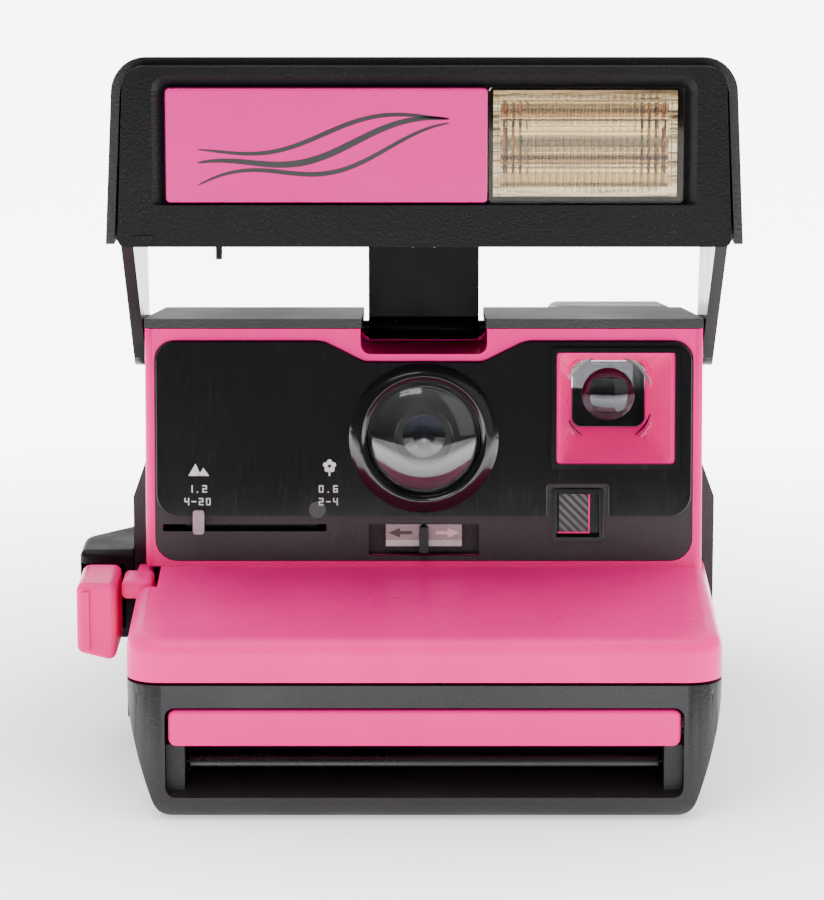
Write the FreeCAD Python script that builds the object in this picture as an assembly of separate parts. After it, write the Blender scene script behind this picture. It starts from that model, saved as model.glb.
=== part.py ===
"""Folding-flash instant camera, in millimetres.

X runs to the right as the lens looks at you, Y runs back from the film door, Z is up. The origin lies on the
resting face, in the camera's middle plane, half way along the body. Depths named d are measured back from the
film door's front, and at() turns them into the frame.
"""
import FreeCAD
import Part
import math
import os

Vec = FreeCAD.Vector
ALONG_X, ALONG_Y, ALONG_Z = Vec(1, 0, 0), Vec(0, 1, 0), Vec(0, 0, 1)

# ---- overall sizes ----
body_depth = 146.0          # film door's front to the rear face
base_half = 57.7            # half the width of the door and the front shell
rear_half = base_half + 1.8 # half the width of the rear cover's lower part
top_half = base_half - 1.2  # half the width of the panel and the deck
door_top = 26.9             # top edge of the film door and the base
shelf_front = door_top + 8.9    # shelf height at its front edge
shelf_back = shelf_front + 4.3  # shelf height where the panel rises
panel_depth = 46.0          # depth of the panel's foot
panel_lean = 5.0            # degrees that the panel leans back
deck_top = 90.3             # top of the body
deck_back = panel_depth + 20.0  # depth where the rear slope starts
tail_height = door_top + 5.1    # height where the rear slope ends
tail_depth = body_depth - 4.0
split_depth = panel_depth + 9.0 # where the front shell meets the rear cover
door_depth = 26.0           # depth of the film door
gap = 0.3                   # clearance between fixed outer shells
free = 0.4                  # clearance round moving pieces
wall = 2.0                  # shell wall
corner = 7.0                # radius of the body's upright corners
heel_radius = 3.5           # radius of the base's rear lower edge

# ---- flash unit ----
pivot_depth, pivot_height = deck_back, deck_top - 4.0
flash_front = pivot_depth - (pivot_height - shelf_back - 0.2)    # the face lies just over the shelf when folded
flash_foot = pivot_height + 22.9    # lower edge of the flash
flash_top = flash_foot + 36.4       # top of the hood
face_half_foot, face_half_top = base_half + 1.7, base_half + 0.2
hood_half_foot, hood_half_top = base_half + 4.5, base_half + 2.5
hood_corner = 7.0
hood_back_depth, hood_back_height = pivot_depth + 4.6, flash_foot - 4.6
arm_inner = top_half + free
arm_outer = arm_inner + 2.4
boss_radius = 8.0
pin_radius = 2.4            # flash arms' studs
pin_play = 0.08
neck_half = 11.3
window_half = face_half_foot - 9.5    # badge and flash window together
window_split = 12.3
window_low, window_high = flash_foot + 8.5, flash_foot + 30.7

# ---- lens panel, heights measured up the panel from its foot ----
panel_up = (deck_top - 2.0 - shelf_back) / math.cos(math.radians(panel_lean))
plate_half = top_half - 2.1
plate_low, plate_high, plate_notch = 1.2, panel_up - 2.4, panel_up - 6.6
gloss_low = 10.3
lens_up = 26.3
lens_ring_inner = 11.6
lens_ring_outer = lens_ring_inner + 3.6
finder_x0, finder_x1, finder_u0, finder_u1 = 26.8, 50.8, 20.5, 44.2
cell_x0, cell_x1, cell_u0, cell_u1 = 25.9, 36.5, 5.2, 15.9
dial_half, dial_u0, dial_u1 = 11.2, 2.2, 8.7
slot_x0, slot_x1, slot_u, slot_half = -53.0, -19.7, 7.9, 0.75
tab_x = -45.6
close_up_travel = 23.6

# ---- film slot in the door ----
slot_window_half = base_half - 7.6
slot_low, slot_high = 4.6, 22.5
trim_low, trim_high = 14.7, 22.1
roller_radius = 4.0
roller_length_half = 46.0
roller_depth, lower_roller_height = 17.0, 7.4
roller_nip = 0.15
chamber_half = 46.6
chamber_floor, chamber_top = 2.4, 22.0

front = -body_depth / 2


def at(x, d, z):
    return Vec(x, front + d, z)


def block(x0, x1, d0, d1, z0, z1):
    return Part.makeBox(x1 - x0, d1 - d0, z1 - z0, at(x0, d0, z0))


def rod(radius, x0, x1, d, z):
    """A cylinder along X."""
    return Part.makeCylinder(radius, x1 - x0, at(x0, d, z), ALONG_X)


def side_prism(points, x0, x1):
    """A prism along X from its side view, given as (depth, height) points."""
    loop = [at(x0, d, z) for d, z in points]
    return Part.Face(Part.makePolygon(loop + loop[:1])).extrude(Vec(x1 - x0, 0, 0))


def front_prism(points, d0, d1):
    """A prism along Y from its front view, given as (x, height) points."""
    loop = [at(x, d0, z) for x, z in points]
    return Part.Face(Part.makePolygon(loop + loop[:1])).extrude(Vec(0, d1 - d0, 0))


def fuse(*shapes):
    whole = shapes[0]
    for shape in shapes[1:]:
        whole = whole.fuse(shape)
    return whole.removeSplitter()


def cut(shape, *tools):
    for tool in tools:
        shape = shape.cut(tool)
    return shape


def both_sides(make):
    """The same piece on the right (+1) and on the left (-1)."""
    return Part.makeCompound([make(+1), make(-1)])


def rounded_outline(points, radii):
    """A closed wire through coplanar points, each corner rounded to its own radius (0 keeps it sharp)."""
    count = len(points)
    starts, ends, arcs = [], [], []
    for i, corner_point in enumerate(points):
        before, after = points[i - 1], points[(i + 1) % count]
        radius = radii[i]
        to_before = (before - corner_point).normalize()
        to_after = (after - corner_point).normalize()
        half = to_before.getAngle(to_after) / 2
        if radius <= 0:
            starts.append(corner_point)
            ends.append(corner_point)
            arcs.append(None)
            continue
        reach = radius / math.tan(half)
        start, end = corner_point + to_before * reach, corner_point + to_after * reach
        middle = (to_before + to_after).normalize()
        peak = corner_point + middle * (radius / math.sin(half) - radius)
        starts.append(start)
        ends.append(end)
        arcs.append(Part.Arc(start, peak, end).toShape())
    edges = []
    for i in range(count):
        if arcs[i] is not None:
            edges.append(arcs[i])
        following = starts[(i + 1) % count]
        if ends[i].distanceToPoint(following) > 1e-6:
            edges.append(Part.makeLine(ends[i], following))
    return Part.Wire(edges)


def rounded_front_plate(points, radii, d0, d1):
    """A plate across Y with rounded corners, from (x, height) points."""
    loop = [at(x, d0, z) for x, z in points]
    return Part.Face(rounded_outline(loop, radii)).extrude(Vec(0, d1 - d0, 0))


def rounded_box_front(x0, x1, z0, z1, radius, d0, d1):
    return rounded_front_plate([(x0, z0), (x1, z0), (x1, z1), (x0, z1)], [radius] * 4, d0, d1)


def plan_prism(points, radii, z0, z1):
    """A prism along Z with rounded corners, from (x, depth) points."""
    loop = [at(x, d, z0) for x, d in points]
    return Part.Face(rounded_outline(loop, radii)).extrude(Vec(0, 0, z1 - z0))


def on_panel(shape):
    """Carries a shape from the upright drawing (depth 0 at the panel's face, height 0 at its foot) to the panel."""
    placed = shape.copy()
    placed.translate(Vec(0, -front, 0))
    placed.rotate(Vec(0, 0, 0), ALONG_X, -panel_lean)
    placed.translate(at(0, panel_depth, shelf_back))
    return placed


def panel_depth_at(z):
    return panel_depth + (z - shelf_back) * math.tan(math.radians(panel_lean))


def panel_point(x, behind, up):
    """The depth and height of a point a distance behind the panel's face and up it."""
    lean = math.radians(panel_lean)
    return (x, panel_depth + behind * math.cos(lean) + up * math.sin(lean),
            shelf_back - behind * math.sin(lean) + up * math.cos(lean))


def bowl(half, floor, top, d0, d1, draw_in=4.2, sole_radius=6.0):
    """A prism along Y whose sides draw in towards a rounded sole, as the door and the base do."""
    inner = half - draw_in
    knee = floor + sole_radius
    flat = inner - sole_radius * 1.15

    def side(sign):
        points = [at(sign * half, d0, top), at(sign * (half - draw_in * 0.3), d0, (top + knee) / 2),
                  at(sign * inner, d0, knee), at(sign * (inner - sole_radius * 0.36), d0, floor
                  + sole_radius * 0.26), at(sign * flat, d0, floor)]
        curve = Part.BSplineCurve()
        curve.interpolate(Points=points, InitialTangent=Vec(0, 0, -1), FinalTangent=Vec(-sign, 0, 0))
        return curve.toShape()

    edges = [side(1), side(-1), Part.makeLine(at(flat, d0, floor), at(-flat, d0, floor)),
             Part.makeLine(at(-half, d0, top), at(half, d0, top))]
    face = Part.Face(Part.Wire(Part.__sortEdges__(edges)))
    return face.extrude(Vec(0, d1 - d0, 0))


def upright_corners(half, d0, d1, z0, z1, front_radius=0.0, rear_radius=0.0):
    """The plan that trims a body part's upright corners."""
    return plan_prism([(-half, d0), (half, d0), (half, d1), (-half, d1)],
                      [front_radius, front_radius, rear_radius, rear_radius], z0, z1)


def soften(shape, radius, wanted):
    """Rounds the edges that wanted() picks."""
    edges = [edge for edge in shape.Edges if wanted(edge)]
    return shape.makeFillet(radius, edges)


# ---- sizes that follow from the driving ones ----
shell_foot = door_top + 2 * gap                     # lower edge of the front shell and the rear cover
deck_plate = 1.9
shoulder_low, shoulder_high = shelf_back + 12.6, shelf_back + 20.9
panel_top = deck_top - deck_plate - 0.1
recess_half, recess_floor, recess_back = neck_half + 1.5, pivot_height - 3.1, pivot_depth + 4.6
tray_wall = 1.5
slope_fall = (deck_top - tail_height) / (tail_depth - deck_back)
plate_thickness, gloss_thickness, pocket = 1.0, 0.9, 1.1
finder_bump_x0, finder_bump_x1 = finder_x0 - 0.3, finder_x1 + 1.6
finder_bump_back = deck_back + 42.0
hinge_depth, hinge_height, hinge_pin_radius, knuckle_radius = door_depth + 0.4, 2.6, 0.8, 1.7
hinge_sweep = 4.3
lug_x0, lug_x1 = 18.0, 29.7
knuckle_x0, knuckle_x1 = 30.0, 42.0
upper_roller_height = lower_roller_height + 2 * roller_radius + roller_nip
button_x0, button_x1 = -rear_half - 10.3, -rear_half - 2.0
button_corner, button_corner_depth, button_floor = 4.3 - base_half, 33.0, shelf_front - 0.8
button_low, button_high = door_top - 6.2, shelf_front + 4.7
housing_front = split_depth - 3.0


def slope_height(d):
    return deck_top - (d - deck_back) * slope_fall


def plate_outline(low, shrink, front_depth, thickness, top_corner=4.0):
    """The black plates' outline: two lobes with a dip between them for the neck recess."""
    half, high, dip = plate_half - shrink, plate_high - shrink, plate_notch - shrink
    points = [(-half, low), (half, low), (half, high), (recess_half + 7.7, high), (recess_half - 0.8, dip),
              (-recess_half + 0.8, dip), (-recess_half - 7.7, high), (-half, high)]
    radii = [4.5, 4.5, top_corner, 6.0, 3.0, 3.0, 6.0, top_corner]
    return upright_plate(points, radii, front_depth, thickness)


def upright_plate(points, radii, front_depth, thickness):
    """A plate in the panel's own upright drawing, where depth 0 is the panel's face."""
    loop = [Vec(x, front_depth, up) for x, up in points]
    solid = Part.Face(rounded_outline(loop, radii)).extrude(Vec(0, thickness, 0))
    solid.translate(Vec(0, front, 0))
    return solid


def upright_box(x0, x1, u0, u1, radius, front_depth, thickness):
    return upright_plate([(x0, u0), (x1, u0), (x1, u1), (x0, u1)], [radius] * 4, front_depth, thickness)


def upright_disc(radius, x, up, front_depth, thickness):
    return Part.makeCylinder(radius, thickness, Vec(x, front + front_depth, up), ALONG_Y)


def panel_openings(margin, front_depth, thickness):
    """The holes that the lens, finder, light cell, exposure dial and close-up tab need."""
    return [
        upright_disc(lens_ring_inner + 1.2 + margin, 0, lens_up, front_depth, thickness),
        upright_box(finder_x0 - margin, finder_x1 + margin, finder_u0 - margin, finder_u1 + margin, 1.5,
                    front_depth, thickness),
        upright_box(cell_x0 - margin, cell_x1 + margin, cell_u0 - margin, cell_u1 + margin, 0.8,
                    front_depth, thickness),
        upright_box(-dial_half - margin, dial_half + margin, dial_u0, dial_u1 + margin, 0.5,
                    front_depth, thickness),
        upright_box(slot_x0, slot_x1, slot_u - slot_half - margin, slot_u + slot_half + margin, 0.4,
                    front_depth, thickness),
    ]


# ---- outer shells ----
def front_shell():
    """Shelf, panel frame and neck recess, one pink moulding."""
    slope = (shelf_back - shelf_front) / panel_depth
    shelf = side_prism([(0, shell_foot), (0, shelf_front), (split_depth, shelf_front + slope * split_depth),
                        (split_depth, shell_foot)], -base_half, base_half)
    shelf = shelf.common(upright_corners(base_half, 0, split_depth, 0, deck_top, front_radius=corner))
    shelf = soften(shelf, 3.2, lambda e: e.BoundBox.ZMin > shelf_front - 0.01 and e.BoundBox.YMin < front + 50
                   and e.BoundBox.YMax < front + split_depth + 0.1 and e.BoundBox.YMin < front + split_depth - 1)
    foot = shelf_back - 2
    panel = side_prism([(panel_depth_at(foot), foot), (panel_depth_at(panel_top), panel_top),
                        (split_depth, panel_top), (split_depth, foot)], -top_half, top_half)
    panel = soften(panel, 1.6, lambda e: e.BoundBox.ZLength > 20 and e.BoundBox.YMin < front + panel_depth + 1)
    outer = shelf.fuse(panel)
    inside_half = base_half - wall
    under = side_prism([(wall, 0), (wall, shelf_front - wall), (split_depth + 1, shelf_front + slope * split_depth
                        - wall), (split_depth + 1, 0)], -inside_half, inside_half)
    under = under.common(upright_corners(inside_half, wall, split_depth + 1, -1, deck_top,
                                         front_radius=corner - wall))
    behind = side_prism([(panel_depth_at(foot) + wall, foot - 4), (panel_depth_at(panel_top) + wall,
                         panel_top - wall), (split_depth + 1, panel_top - wall), (split_depth + 1, foot - 4)],
                        -top_half + wall, top_half - wall)
    tray_outer = rounded_box_front(-recess_half - tray_wall, recess_half + tray_wall, recess_floor - tray_wall,
                                   panel_top + 4, 2.5, panel_depth_at(panel_top) - 1, recess_back)
    tray_outer = tray_outer.common(block(-40, 40, 0, 200, 0, panel_top))
    tray_inner = rounded_box_front(-recess_half, recess_half, recess_floor, panel_top + 8, 2.0,
                                   panel_depth_at(shelf_back) - 5, recess_back + 1)
    in_front = on_panel(upright_box(-80, 80, -10, 80, 0.5, -20, 20))
    shell = cut(outer, under, behind).fuse(tray_outer.cut(in_front))
    shell = cut(shell, tray_inner)
    shell = shell.cut(on_panel(plate_outline(plate_low - 0.1, -0.1, -0.01, pocket)))
    for hole in panel_openings(0.6, -1, wall + 3):
        shell = shell.cut(on_panel(hole))
    shell = shell.cut(rod(1.25, -recess_half - tray_wall - 1, recess_half + tray_wall + 1, pivot_depth,
                          pivot_height))
    pan = block(-80, button_corner + 1.9, button_corner_depth - wall, split_depth, button_floor - 1.6, 80)
    shell = shell.fuse(pan.common(shelf))
    shell = shell.cut(block(-80, button_corner, button_corner_depth, split_depth + 1, button_floor, shelf_back + 6)
                      .cut(block(-top_half - 0.02, 0, panel_depth_at(shelf_back) - 0.5, 200, shelf_back, 80)))
    return shell.removeSplitter()


def rear_cover():
    """Black deck, sloping back and finder hump."""
    half, low_half = top_half, rear_half

    def hull(offset):
        h, lh = half - offset, low_half - offset
        foot, top = shell_foot - 3 * offset, deck_top - offset
        width = front_prism([(-lh, foot), (-lh, shoulder_low), (-h, shoulder_high), (-h, top),
                             (h, top), (h, shoulder_high), (lh, shoulder_low), (lh, foot)],
                            split_depth + gap - offset * 2, body_depth)
        length = side_prism([(split_depth + gap - 2 * offset, shell_foot - 3 * offset),
                             (split_depth + gap - 2 * offset, deck_top - offset),
                             (deck_back - 0.34 * offset, deck_top - offset), (tail_depth - offset, tail_height
                             - offset * 0.6), (body_depth - offset, tail_height - 5 - offset * 0.4),
                             (body_depth - offset, shell_foot - 3 * offset)], -80, 80)
        rear = upright_corners(low_half - offset, split_depth + gap - 2 * offset, body_depth - offset, 0, 100,
                               rear_radius=corner + 2 - offset)
        return width.common(length).common(rear)

    bevel = [Part.makeBox(60, 120, 60, Vec(0, -60, 0)) for _ in range(2)]
    shoulders = []
    for sign, solid in zip((1, -1), bevel):
        if sign < 0:
            solid = solid.mirror(Vec(0, 0, 0), ALONG_X)
        solid.rotate(Vec(0, 0, 0), ALONG_Y, sign * 38)
        solid.rotate(Vec(0, 0, 0), ALONG_Z, sign * 14)
        solid.translate(at(sign * (half - 1.0), split_depth - 2, deck_top + 0.5))
        shoulders.append(solid)
    hump = side_prism([(deck_back - 6, deck_top - 26), (deck_back - 6, deck_top - 0.7),
                       (deck_back + 6, deck_top - 0.7), (finder_bump_back - 2, deck_top - 5.0),
                       (finder_bump_back, deck_top - 8), (finder_bump_back, deck_top - 31)],
                      finder_bump_x0, finder_bump_x1)
    hump = soften(hump, 2.5, lambda e: e.BoundBox.XLength < 1e-3 and e.BoundBox.ZMin > deck_top - 8.1)
    hump_inside = side_prism([(deck_back - 8, deck_top - 24), (deck_back - 8, deck_top - 2.7),
                              (deck_back + 6, deck_top - 2.7), (finder_bump_back - wall - 1.5, deck_top - 7.0),
                              (finder_bump_back - wall, deck_top - 9), (finder_bump_back - wall,
                              deck_top - 29)], finder_bump_x0 + wall, finder_bump_x1 - wall)
    cover = cut(hull(0), *shoulders)
    cover = cover.fuse(hump)
    inner = cut(hull(wall), *[s.translated(Vec(-sign * 2.4, 0, -2.4)) for sign, s in zip((1, -1), shoulders)])
    cover = cut(cover, inner, hump_inside)
    deck_lip = block(-top_half, top_half, panel_depth_at(panel_top) + 0.1, split_depth + gap, deck_top - deck_plate,
                     deck_top).cut(shoulders[0]).cut(shoulders[1])
    cover = cover.fuse(deck_lip)
    notch = plan_prism([(-recess_half - 0.2, 40), (recess_half + 0.2, 40), (recess_half - 0.6,
                       split_depth + 6), (recess_half - 0.6, recess_back + 0.2), (-recess_half + 0.6,
                       recess_back + 0.2), (-recess_half + 0.6, split_depth + 6)], [0] * 6,
                       recess_floor - 1, deck_top + 1)
    tray_way = block(-recess_half - tray_wall - gap, recess_half + tray_wall + gap, split_depth - 5,
                     recess_back + gap, recess_floor - tray_wall - gap, deck_top - deck_plate + 0.05)
    eyepiece_hole = block(finder_x0 + 5, finder_x1 - 4, finder_bump_back - wall - 2, finder_bump_back + 2,
                          deck_top - 27, deck_top - 11.5)
    pin_holes = rod(pin_radius, -80, 80, pivot_depth, pivot_height)
    cover = cut(cover, notch, tray_way, eyepiece_hole, pin_holes, counter_window_cutter(0.0), strap_slot())
    flange = hull(0).common(block(-80, 80, split_depth + gap, split_depth + gap + 1.5, shell_foot, deck_top))
    flange = flange.cut(block(-top_half + 2.8, top_half - 2.8, 0, 200, 0, deck_top - 6))
    flange = cut(flange, tray_way, notch, *shoulders)
    low, high = no_flash_heights()
    stem_hole = block(no_flash_x0 + 2.2 - free, no_flash_x1 - 0.8 + free, 0, 80, low + 1 - free, high - 1 + free)
    bar = block(rear_half - 1.8, rear_half + 1.6, 121.6, 124.4, 33.0, 37.5)
    return fuse(cover, flange, eyepiece_rim(), bar, *screw_posts()).cut(stem_hole)


def counter_window_cutter(margin, depth=8.0):
    """The picture counter's window, square to the sloping back."""
    d, tilt = 126.0, math.degrees(math.atan(slope_fall))
    cutter = Part.makeBox(7.0 - 2 * margin, 6.0 - 2 * margin, depth, Vec(-3.5 + margin, -3.0 + margin, -depth + 1))
    cutter.rotate(Vec(0, 0, 0), ALONG_X, -tilt)
    cutter.translate(at(50.0, d, slope_height(d)))
    return cutter


def strap_slot():
    """Slot behind the strap bar, low on the right side."""
    return block(rear_half - 4.0, rear_half + 1, 118, 128, 34, 36.5)


def base_chassis():
    """Black lower shell with the film chamber's rails and the door's hinge lugs."""
    start = door_depth + gap
    narrow = bowl(base_half, 0, door_top, start, split_depth + 6)
    wide = bowl(rear_half, 0, door_top, split_depth + gap, body_depth)
    wide = wide.common(upright_corners(rear_half, split_depth, body_depth, -1, 60, rear_radius=corner + 2))
    heel = rounded_outline([at(-80, body_depth, 0), at(-80, body_depth, door_top + 1), at(-80, 0, door_top + 1),
                            at(-80, 0, 0)], [heel_radius, 0, 0, 0])
    wide = wide.common(Part.Face(heel).extrude(Vec(160, 0, 0)))
    hollow_narrow = bowl(base_half - wall, chamber_floor, door_top + 1, start - 1, split_depth + 7)
    hollow_wide = bowl(rear_half - wall, chamber_floor, door_top + 1, split_depth + gap + wall,
                       body_depth - wall)
    hollow_wide = hollow_wide.common(upright_corners(rear_half - wall, split_depth, body_depth - wall, -1, 60,
                                                     rear_radius=corner))
    shell = cut(narrow.fuse(wide), hollow_narrow, hollow_wide)
    rail = block(chamber_half, chamber_half + chamber_wall, start + 6, body_depth - 6, chamber_floor - 0.5, chamber_top)
    end = chamber_half + chamber_wall
    stop = block(-end, end, body_depth - 6, body_depth - 4.6, chamber_floor - 0.5, chamber_top)
    shell = fuse(shell, rail, rail.mirror(Vec(0, 0, 0), ALONG_X), stop)
    shell = shell.cut(rod(hinge_sweep, -80, 80, hinge_depth, hinge_height))
    for sign in (1, -1):
        x0, x1 = sorted((sign * lug_x0, sign * lug_x1))
        lug = fuse(rod(knuckle_radius, x0, x1, hinge_depth, hinge_height),
                   block(x0, x1, hinge_depth, hinge_depth + 8, hinge_height - knuckle_radius, chamber_floor))
        shell = shell.fuse(lug)
    shell = shell.cut(rod(hinge_pin_radius, -48, 48, hinge_depth, hinge_height))
    for x, d in foot_places():
        shell = shell.cut(Part.makeCylinder(3.5, 0.8, at(x, d, -0.01), ALONG_Z))
    shell = shell.cut(block(-80, 80, 0, start, -1, 60))
    for x, d in screw_places():
        boss = Part.makeCylinder(3.1, 6.0, at(x, d, 0), ALONG_Z).common(fuse(narrow, wide))
        shell = shell.fuse(boss).cut(Part.makeCylinder(2.4, 3.6, at(x, d, -1), ALONG_Z))
        shell = shell.cut(Part.makeCylinder(1.3, 30, at(x, d, -1), ALONG_Z))
        shell = shell.cut(Part.makeCylinder(3.1, 30, at(x, d, 6.0), ALONG_Z))
    return shell.removeSplitter()


def foot_places():
    return [(x, d) for x in (-38.0, 38.0) for d in (44.0, 132.0)]


def screw_places():
    return [(x, d) for x in (-51.2, 51.2) for d in (62.0, 134.0)]


# ---- film door, rollers and gears ----
chamber_wall = 1.4
gear_module, gear_x0 = 0.8, chamber_half + chamber_wall + 1.5
gear_x1 = gear_x0 + 2.8
roller_teeth, idler_teeth, pinion_teeth = 13, 24, 8
idler_height = 21.4
engagement = 1.2


def spur_gear(teeth, x0, x1, d, z, phase, bore):
    """A straight-toothed wheel about an axis along X; phase turns a tooth's middle from the upright."""
    pitch = gear_module * teeth / 2
    tip, root = pitch + engagement / 2, pitch - engagement / 2 - 0.25
    half_root, half_tip = math.pi / teeth * 0.52, math.pi / teeth * 0.20
    points = []
    for i in range(teeth):
        mid = phase + 2 * math.pi * i / teeth
        for radius, turn in ((root, -half_root), (tip, -half_tip), (tip, half_tip), (root, half_root)):
            points.append((d + radius * math.sin(mid + turn), z + radius * math.cos(mid + turn)))
    return side_prism(points, x0, x1).cut(rod(bore, x0 - 1, x1 + 1, d, z))


def mesh_phase(teeth_from, phase_from, from_place, teeth_to, to_place):
    """The phase at which a wheel's gap faces the tooth that the driving wheel holds towards it."""
    bearing = math.atan2(to_place[0] - from_place[0], to_place[1] - from_place[1])
    pitch_from, pitch_to = 2 * math.pi / teeth_from, 2 * math.pi / teeth_to
    share = ((bearing - phase_from) % pitch_from) / pitch_from
    return bearing + math.pi + (share - 0.5) * pitch_to


def gear_places():
    """Roller, idler and pinion axes, each a pitch distance from the next."""
    roller = (roller_depth, upper_roller_height)
    reach = gear_module * (roller_teeth + idler_teeth) / 2 + 0.05
    rise = idler_height - roller[1]
    idler = (roller[0] + math.sqrt(reach ** 2 - rise ** 2), idler_height)
    reach = gear_module * (idler_teeth + pinion_teeth) / 2 + 0.05
    pinion = (idler[0] + reach * math.cos(math.radians(38)), idler[1] + reach * math.sin(math.radians(38)))
    return roller, idler, pinion


def door_shell():
    """Black drop-down door with the film slot in its face."""
    outer = bowl(base_half, 0, door_top, 0, door_depth)
    outer = outer.common(upright_corners(base_half, 0, door_depth, -1, door_top + 1, front_radius=corner))
    toe = rounded_outline([at(-80, 0, 0), at(-80, 0, door_top + 1), at(-80, door_depth + 1, door_top + 1),
                           at(-80, door_depth + 1, 0)], [corner - 2.5, 0, 0, 0])
    outer = outer.common(Part.Face(toe).extrude(Vec(160, 0, 0)))
    hollow = bowl(base_half - wall, wall, door_top - wall, wall, door_depth + 1)
    window = rounded_box_front(-slot_window_half, slot_window_half, slot_low, slot_high, 2.0, -1, wall + 1)
    shell = cut(outer, hollow, window)
    lip = side_prism([(1.0, slot_low - 1.5), (1.0, slot_low), (11.0, lower_roller_height - 0.3), (12.0,
                     lower_roller_height - 0.9), (12.0, lower_roller_height - 2.6), (3.0, slot_low - 2.6),
                     (3.0, slot_low - 3.0)], -slot_window_half, slot_window_half)
    shell = shell.fuse(lip.common(bowl(base_half - 0.5, 0.5, door_top, 0, 20)))
    for sign in (1, -1):
        x0, x1 = sorted((sign * 46.5, sign * slot_window_half))
        shell = shell.fuse(block(x0, x1, 3.5, 7.5, slot_low + 0.5, trim_low - 0.4))
        post0, post1 = sorted((sign * (roller_length_half + 0.8), sign * (roller_length_half + 3.4)))
        shell = shell.fuse(block(post0, post1, 9.5, 12.0, slot_low - 1.5, door_top - 1.0))
    for x in (-36.0, 0.0, 36.0):
        shell = shell.fuse(block(x - 3, x + 3, 5.0, 8.0, trim_low + 1, door_top - 1.0))
    shell = shell.cut(block(gear_x0 - 0.5, gear_x1 + 0.6, 9, door_depth + 2, 6, door_top - wall + 0.2))
    shell = shell.cut(block(gear_x0 - 0.5, gear_x1 + 0.6, 19.5, door_depth + 2, 20, door_top + 1))
    for sign in (1, -1):
        x0, x1 = sorted((sign * knuckle_x0, sign * knuckle_x1))
        knuckle = fuse(rod(knuckle_radius, x0, x1, hinge_depth, hinge_height),
                       block(x0, x1, door_depth - 9, hinge_depth, hinge_height - knuckle_radius, wall + 0.4))
        shell = shell.fuse(knuckle)
        lug0, lug1 = sorted((sign * (lug_x0 - gap), sign * (lug_x1 + gap - 0.1)))
        shell = shell.cut(rod(knuckle_radius + gap, lug0, lug1, hinge_depth, hinge_height))
        shell = shell.cut(block(lug0, lug1, door_depth - 2.2, door_depth + 1, -1, hinge_height))
    shell = shell.cut(rod(hinge_pin_radius + 0.06, -48, 48, hinge_depth, hinge_height))
    shell = shell.cut(latch_slot())
    return shell.removeSplitter()


def slot_trim():
    """Pink bar above the film slot, flush with the door's face."""
    bar = rounded_box_front(-slot_window_half + 0.6, slot_window_half - 0.6, trim_low, trim_high, 1.6, 0.2, 5.0)
    bar = soften(bar, 0.9, lambda e: e.BoundBox.YMax < front + 0.21)
    return bar


def roller_frame():
    """Stamped end plates that carry both rollers."""
    def plate(sign):
        x0, x1 = sorted((sign * (roller_length_half + 0.8), sign * (roller_length_half + 2.0)))
        sheet = block(x0, x1, 12.0, 22.5, lower_roller_height - 3.4, door_top - wall - 0.2)
        sheet = sheet.cut(rod(1.56, -80, 80, roller_depth, lower_roller_height))
        return sheet.cut(rod(1.56, -80, 80, roller_depth, upper_roller_height))
    bridge = block(-roller_length_half - 2.0, roller_length_half + 2.0, 20.7, 22.0, upper_roller_height
                   + roller_radius + 1.2, door_top - wall - 0.2)
    return fuse(plate(1), plate(-1), bridge)


def upper_roller():
    shaft = rod(1.5, -roller_length_half - 2.6, gear_x1 + 0.4, roller_depth, upper_roller_height)
    return fuse(rod(roller_radius, -roller_length_half, roller_length_half, roller_depth, upper_roller_height),
                shaft)


def lower_roller():
    shaft = rod(1.5, -roller_length_half - 2.6, roller_length_half + 2.6, roller_depth, lower_roller_height)
    return fuse(rod(roller_radius, -roller_length_half, roller_length_half, roller_depth, lower_roller_height),
                shaft)


def roller_gear():
    roller, _, _ = gear_places()
    return spur_gear(roller_teeth, gear_x0, gear_x1, roller[0], roller[1], roller_phase(), 1.5)


def roller_phase():
    roller, idler, _ = gear_places()
    return math.atan2(idler[0] - roller[0], idler[1] - roller[1])


def idler_phase():
    roller, idler, _ = gear_places()
    return mesh_phase(roller_teeth, roller_phase(), roller, idler_teeth, idler)


def idler_gear():
    _, idler, _ = gear_places()
    return spur_gear(idler_teeth, gear_x0 + 0.2, gear_x1 - 0.2, idler[0], idler[1], idler_phase(), 1.56)


def motor_pinion():
    _, idler, pinion = gear_places()
    phase = mesh_phase(idler_teeth, idler_phase(), idler, pinion_teeth, pinion)
    wheel = spur_gear(pinion_teeth, gear_x0 + 0.2, gear_x1 - 0.2, pinion[0], pinion[1], phase, 0.2)
    return wheel.fuse(rod(0.9, gear_x0 - 2.9, gear_x0 + 0.4, pinion[0], pinion[1]))


def gear_bracket():
    """Plate beside the gears with the idler's fixed shaft and the motor's mount."""
    _, idler, pinion = gear_places()
    plate = block(gear_x0 - 1.5, gear_x0 - 0.5, idler[0] - 2.5, pinion[0] + 9, idler[1] - 3, shelf_front - 0.4)
    plate = plate.cut(rod(1.2, 0, 80, pinion[0], pinion[1]))
    return fuse(plate, rod(1.5, gear_x0 - 1.0, gear_x1 + 0.3, idler[0], idler[1]))


def motor():
    _, _, pinion = gear_places()
    body = rod(5.4, gear_x0 - 21.0, gear_x0 - 1.5, pinion[0], pinion[1])
    body = body.cut(rod(0.97, gear_x0 - 4, gear_x0, pinion[0], pinion[1]))
    return body.common(block(0, 80, pinion[0] - 5.4, pinion[0] + 5.4, pinion[1] - 4.6, pinion[1] + 4.2))


latch_travel = 3.5
latch_d0, latch_d1, latch_z0, latch_z1 = 14.0, 19.0, 17.0, 23.5


def latch_slot():
    return block(-80, -base_half + wall + 2, latch_d0 - free / 2, latch_d1 + latch_travel + free / 2,
                 latch_z0 - free / 2, latch_z1 + free / 2)


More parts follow.
